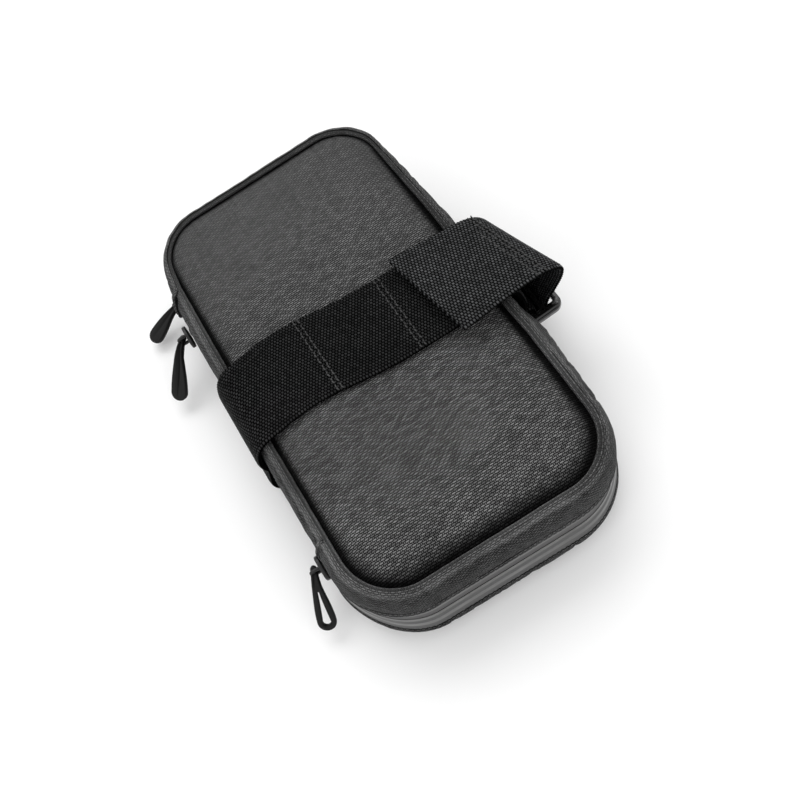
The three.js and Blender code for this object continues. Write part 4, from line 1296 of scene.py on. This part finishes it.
# ---- the whole bag ----
panel = top_panel()
side = sides()
strap_body, strap_base, strap_eye = strap()
tail = strap_tail()
frame_moulding = buckle()
stitching = strap_stitches()
tail_rows = tail_stitches()
base = base_panel()
bottom_foam = soft_layer("bottom_foam_pad", 1.2, 3.9, 4.6, FOAM)
top_foam = soft_layer("top_foam_pad", -2.2, 33.45, 34.5, FOAM)
tray_lining = lining_shell("tray_lining_cloth", 4.5, 6.3, 15.2, LINING)
lid_lining = lining_shell("lid_lining_cloth", 0.6, 31.0, 23.2, LINING)
netting = pocket_netting()
pocket_tape = pocket_zip()
pocket_hem = pocket_elastic()
loop_patch = tape_pile("strap_loop_tape", "strap_loop_patch", 0.45, 1.15, True, HOOK_TAPE, 4)
hook_patch = tape_pile("tail_hook_tape", "tail_hook_patch", 0.4, 1.15, False, HOOK_TAPE, 5)

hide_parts("top_panel")
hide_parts("top_edge_roll")
for name in (
    "upper_gusset", "lower_gusset", "upper_zip_tape", "lower_zip_tape", "upper_zip_coil", "lower_zip_coil"
):
    side[name].name = name + "_soft"
    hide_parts(name)
side["top_edge_roll"].name = "top_edge_roll_soft"
panel.name = "top_panel_soft"
tail.name = "strap_tail_webbing"
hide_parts("hinge_panel_lower", "hinge_panel_upper")
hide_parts("strap_top_run")
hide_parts("strap_lower_run")
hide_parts("strap_tail", "strap_tail_leg")
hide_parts("buckle_frame")
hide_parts("bottom_panel")
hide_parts("bottom_foam")
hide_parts("top_foam")
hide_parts("tray_lining")
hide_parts("lid_lining")
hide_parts("lid_mesh_pocket")
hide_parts("pocket_zip_tape")
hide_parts("lid_pocket_elastic")
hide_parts("strap_loop_patch")
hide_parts("tail_hook_patch")

for piece in (
    side["lower_gusset"], side["lower_zip_tape"], side["lower_zip_coil"], strap_base, base, bottom_foam,
    tray_lining, pocket_tape,
):
    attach(piece, "tray")
for piece in (
    panel, side["top_edge_roll"], side["upper_gusset"], side["upper_zip_tape"], side["upper_zip_coil"],
    side["lid_binding"], stitching, top_foam, lid_lining, netting, pocket_hem, loop_patch, strap_eye,
):
    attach(piece, "lid")
for piece in (hook_patch, tail_rows):
    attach(piece, "tail")
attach(frame_moulding, "buckle")
for prefix, sizes in ZIP_ENDS.items():
    body, tab = zip_end(prefix, **sizes)
    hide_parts(f"{prefix}_slider")
    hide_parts(f"{prefix}_pull")
    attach(body, f"{prefix}_slider")
    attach(tab, f"{prefix}_pull")

leaning = np.array([0.067, 1.0])
leaning /= np.linalg.norm(leaning)
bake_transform(side["hinge_panel"])
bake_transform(strap_body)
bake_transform(tail)

KEPT = {"bottom_stiffener": STIFFENER, "top_stiffener": STIFFENER}
for node, material in KEPT.items():
    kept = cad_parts[node]
    kept.data.materials.clear()
    kept.data.materials.append(material)


# ---- floor and light ----
def floor():
    size = 3.0
    mesh = bpy.data.meshes.new("studio_floor")
    corners = [(-size, -size, -0.0002), (size, -size, -0.0002), (size, size, -0.0002), (-size, size, -0.0002)]
    mesh.from_pydata(corners, [], [(0, 1, 2, 3)])
    made = bpy.data.objects.new("studio_floor", mesh)
    SCENE.collection.objects.link(made)
    paint, _, surface = material_base("floor_paint", Roughness=0.9)
    surface.inputs["Base Color"].default_value = (0.95, 0.95, 0.95, 1)
    mesh.materials.append(paint)


def lamp(name, place, size, power):
    light = bpy.data.lights.new(name, "AREA")
    light.shape = "RECTANGLE"
    light.size, light.size_y = size
    light.energy = power
    made = bpy.data.objects.new(name, light)
    made.location = place
    made.rotation_mode = "QUATERNION"
    made.rotation_quaternion = (-Vector(place)).to_track_quat("-Z", "Y")
    SCENE.collection.objects.link(made)


floor()
lamp("key_window", (0.05, 1.0, 1.4), (1.4, 0.8), 10.0)
lamp("soft_fill", (-1.0, -0.4, 0.9), (0.8, 0.8), 2.0)
sky = bpy.data.worlds.new("studio_sky")
sky.use_nodes = True
sky.node_tree.nodes["Background"].inputs[0].default_value = (1, 1, 1, 1)
sky.node_tree.nodes["Background"].inputs[1].default_value = 0.93
SCENE.world = sky
SCENE.view_settings.view_transform = "Standard"
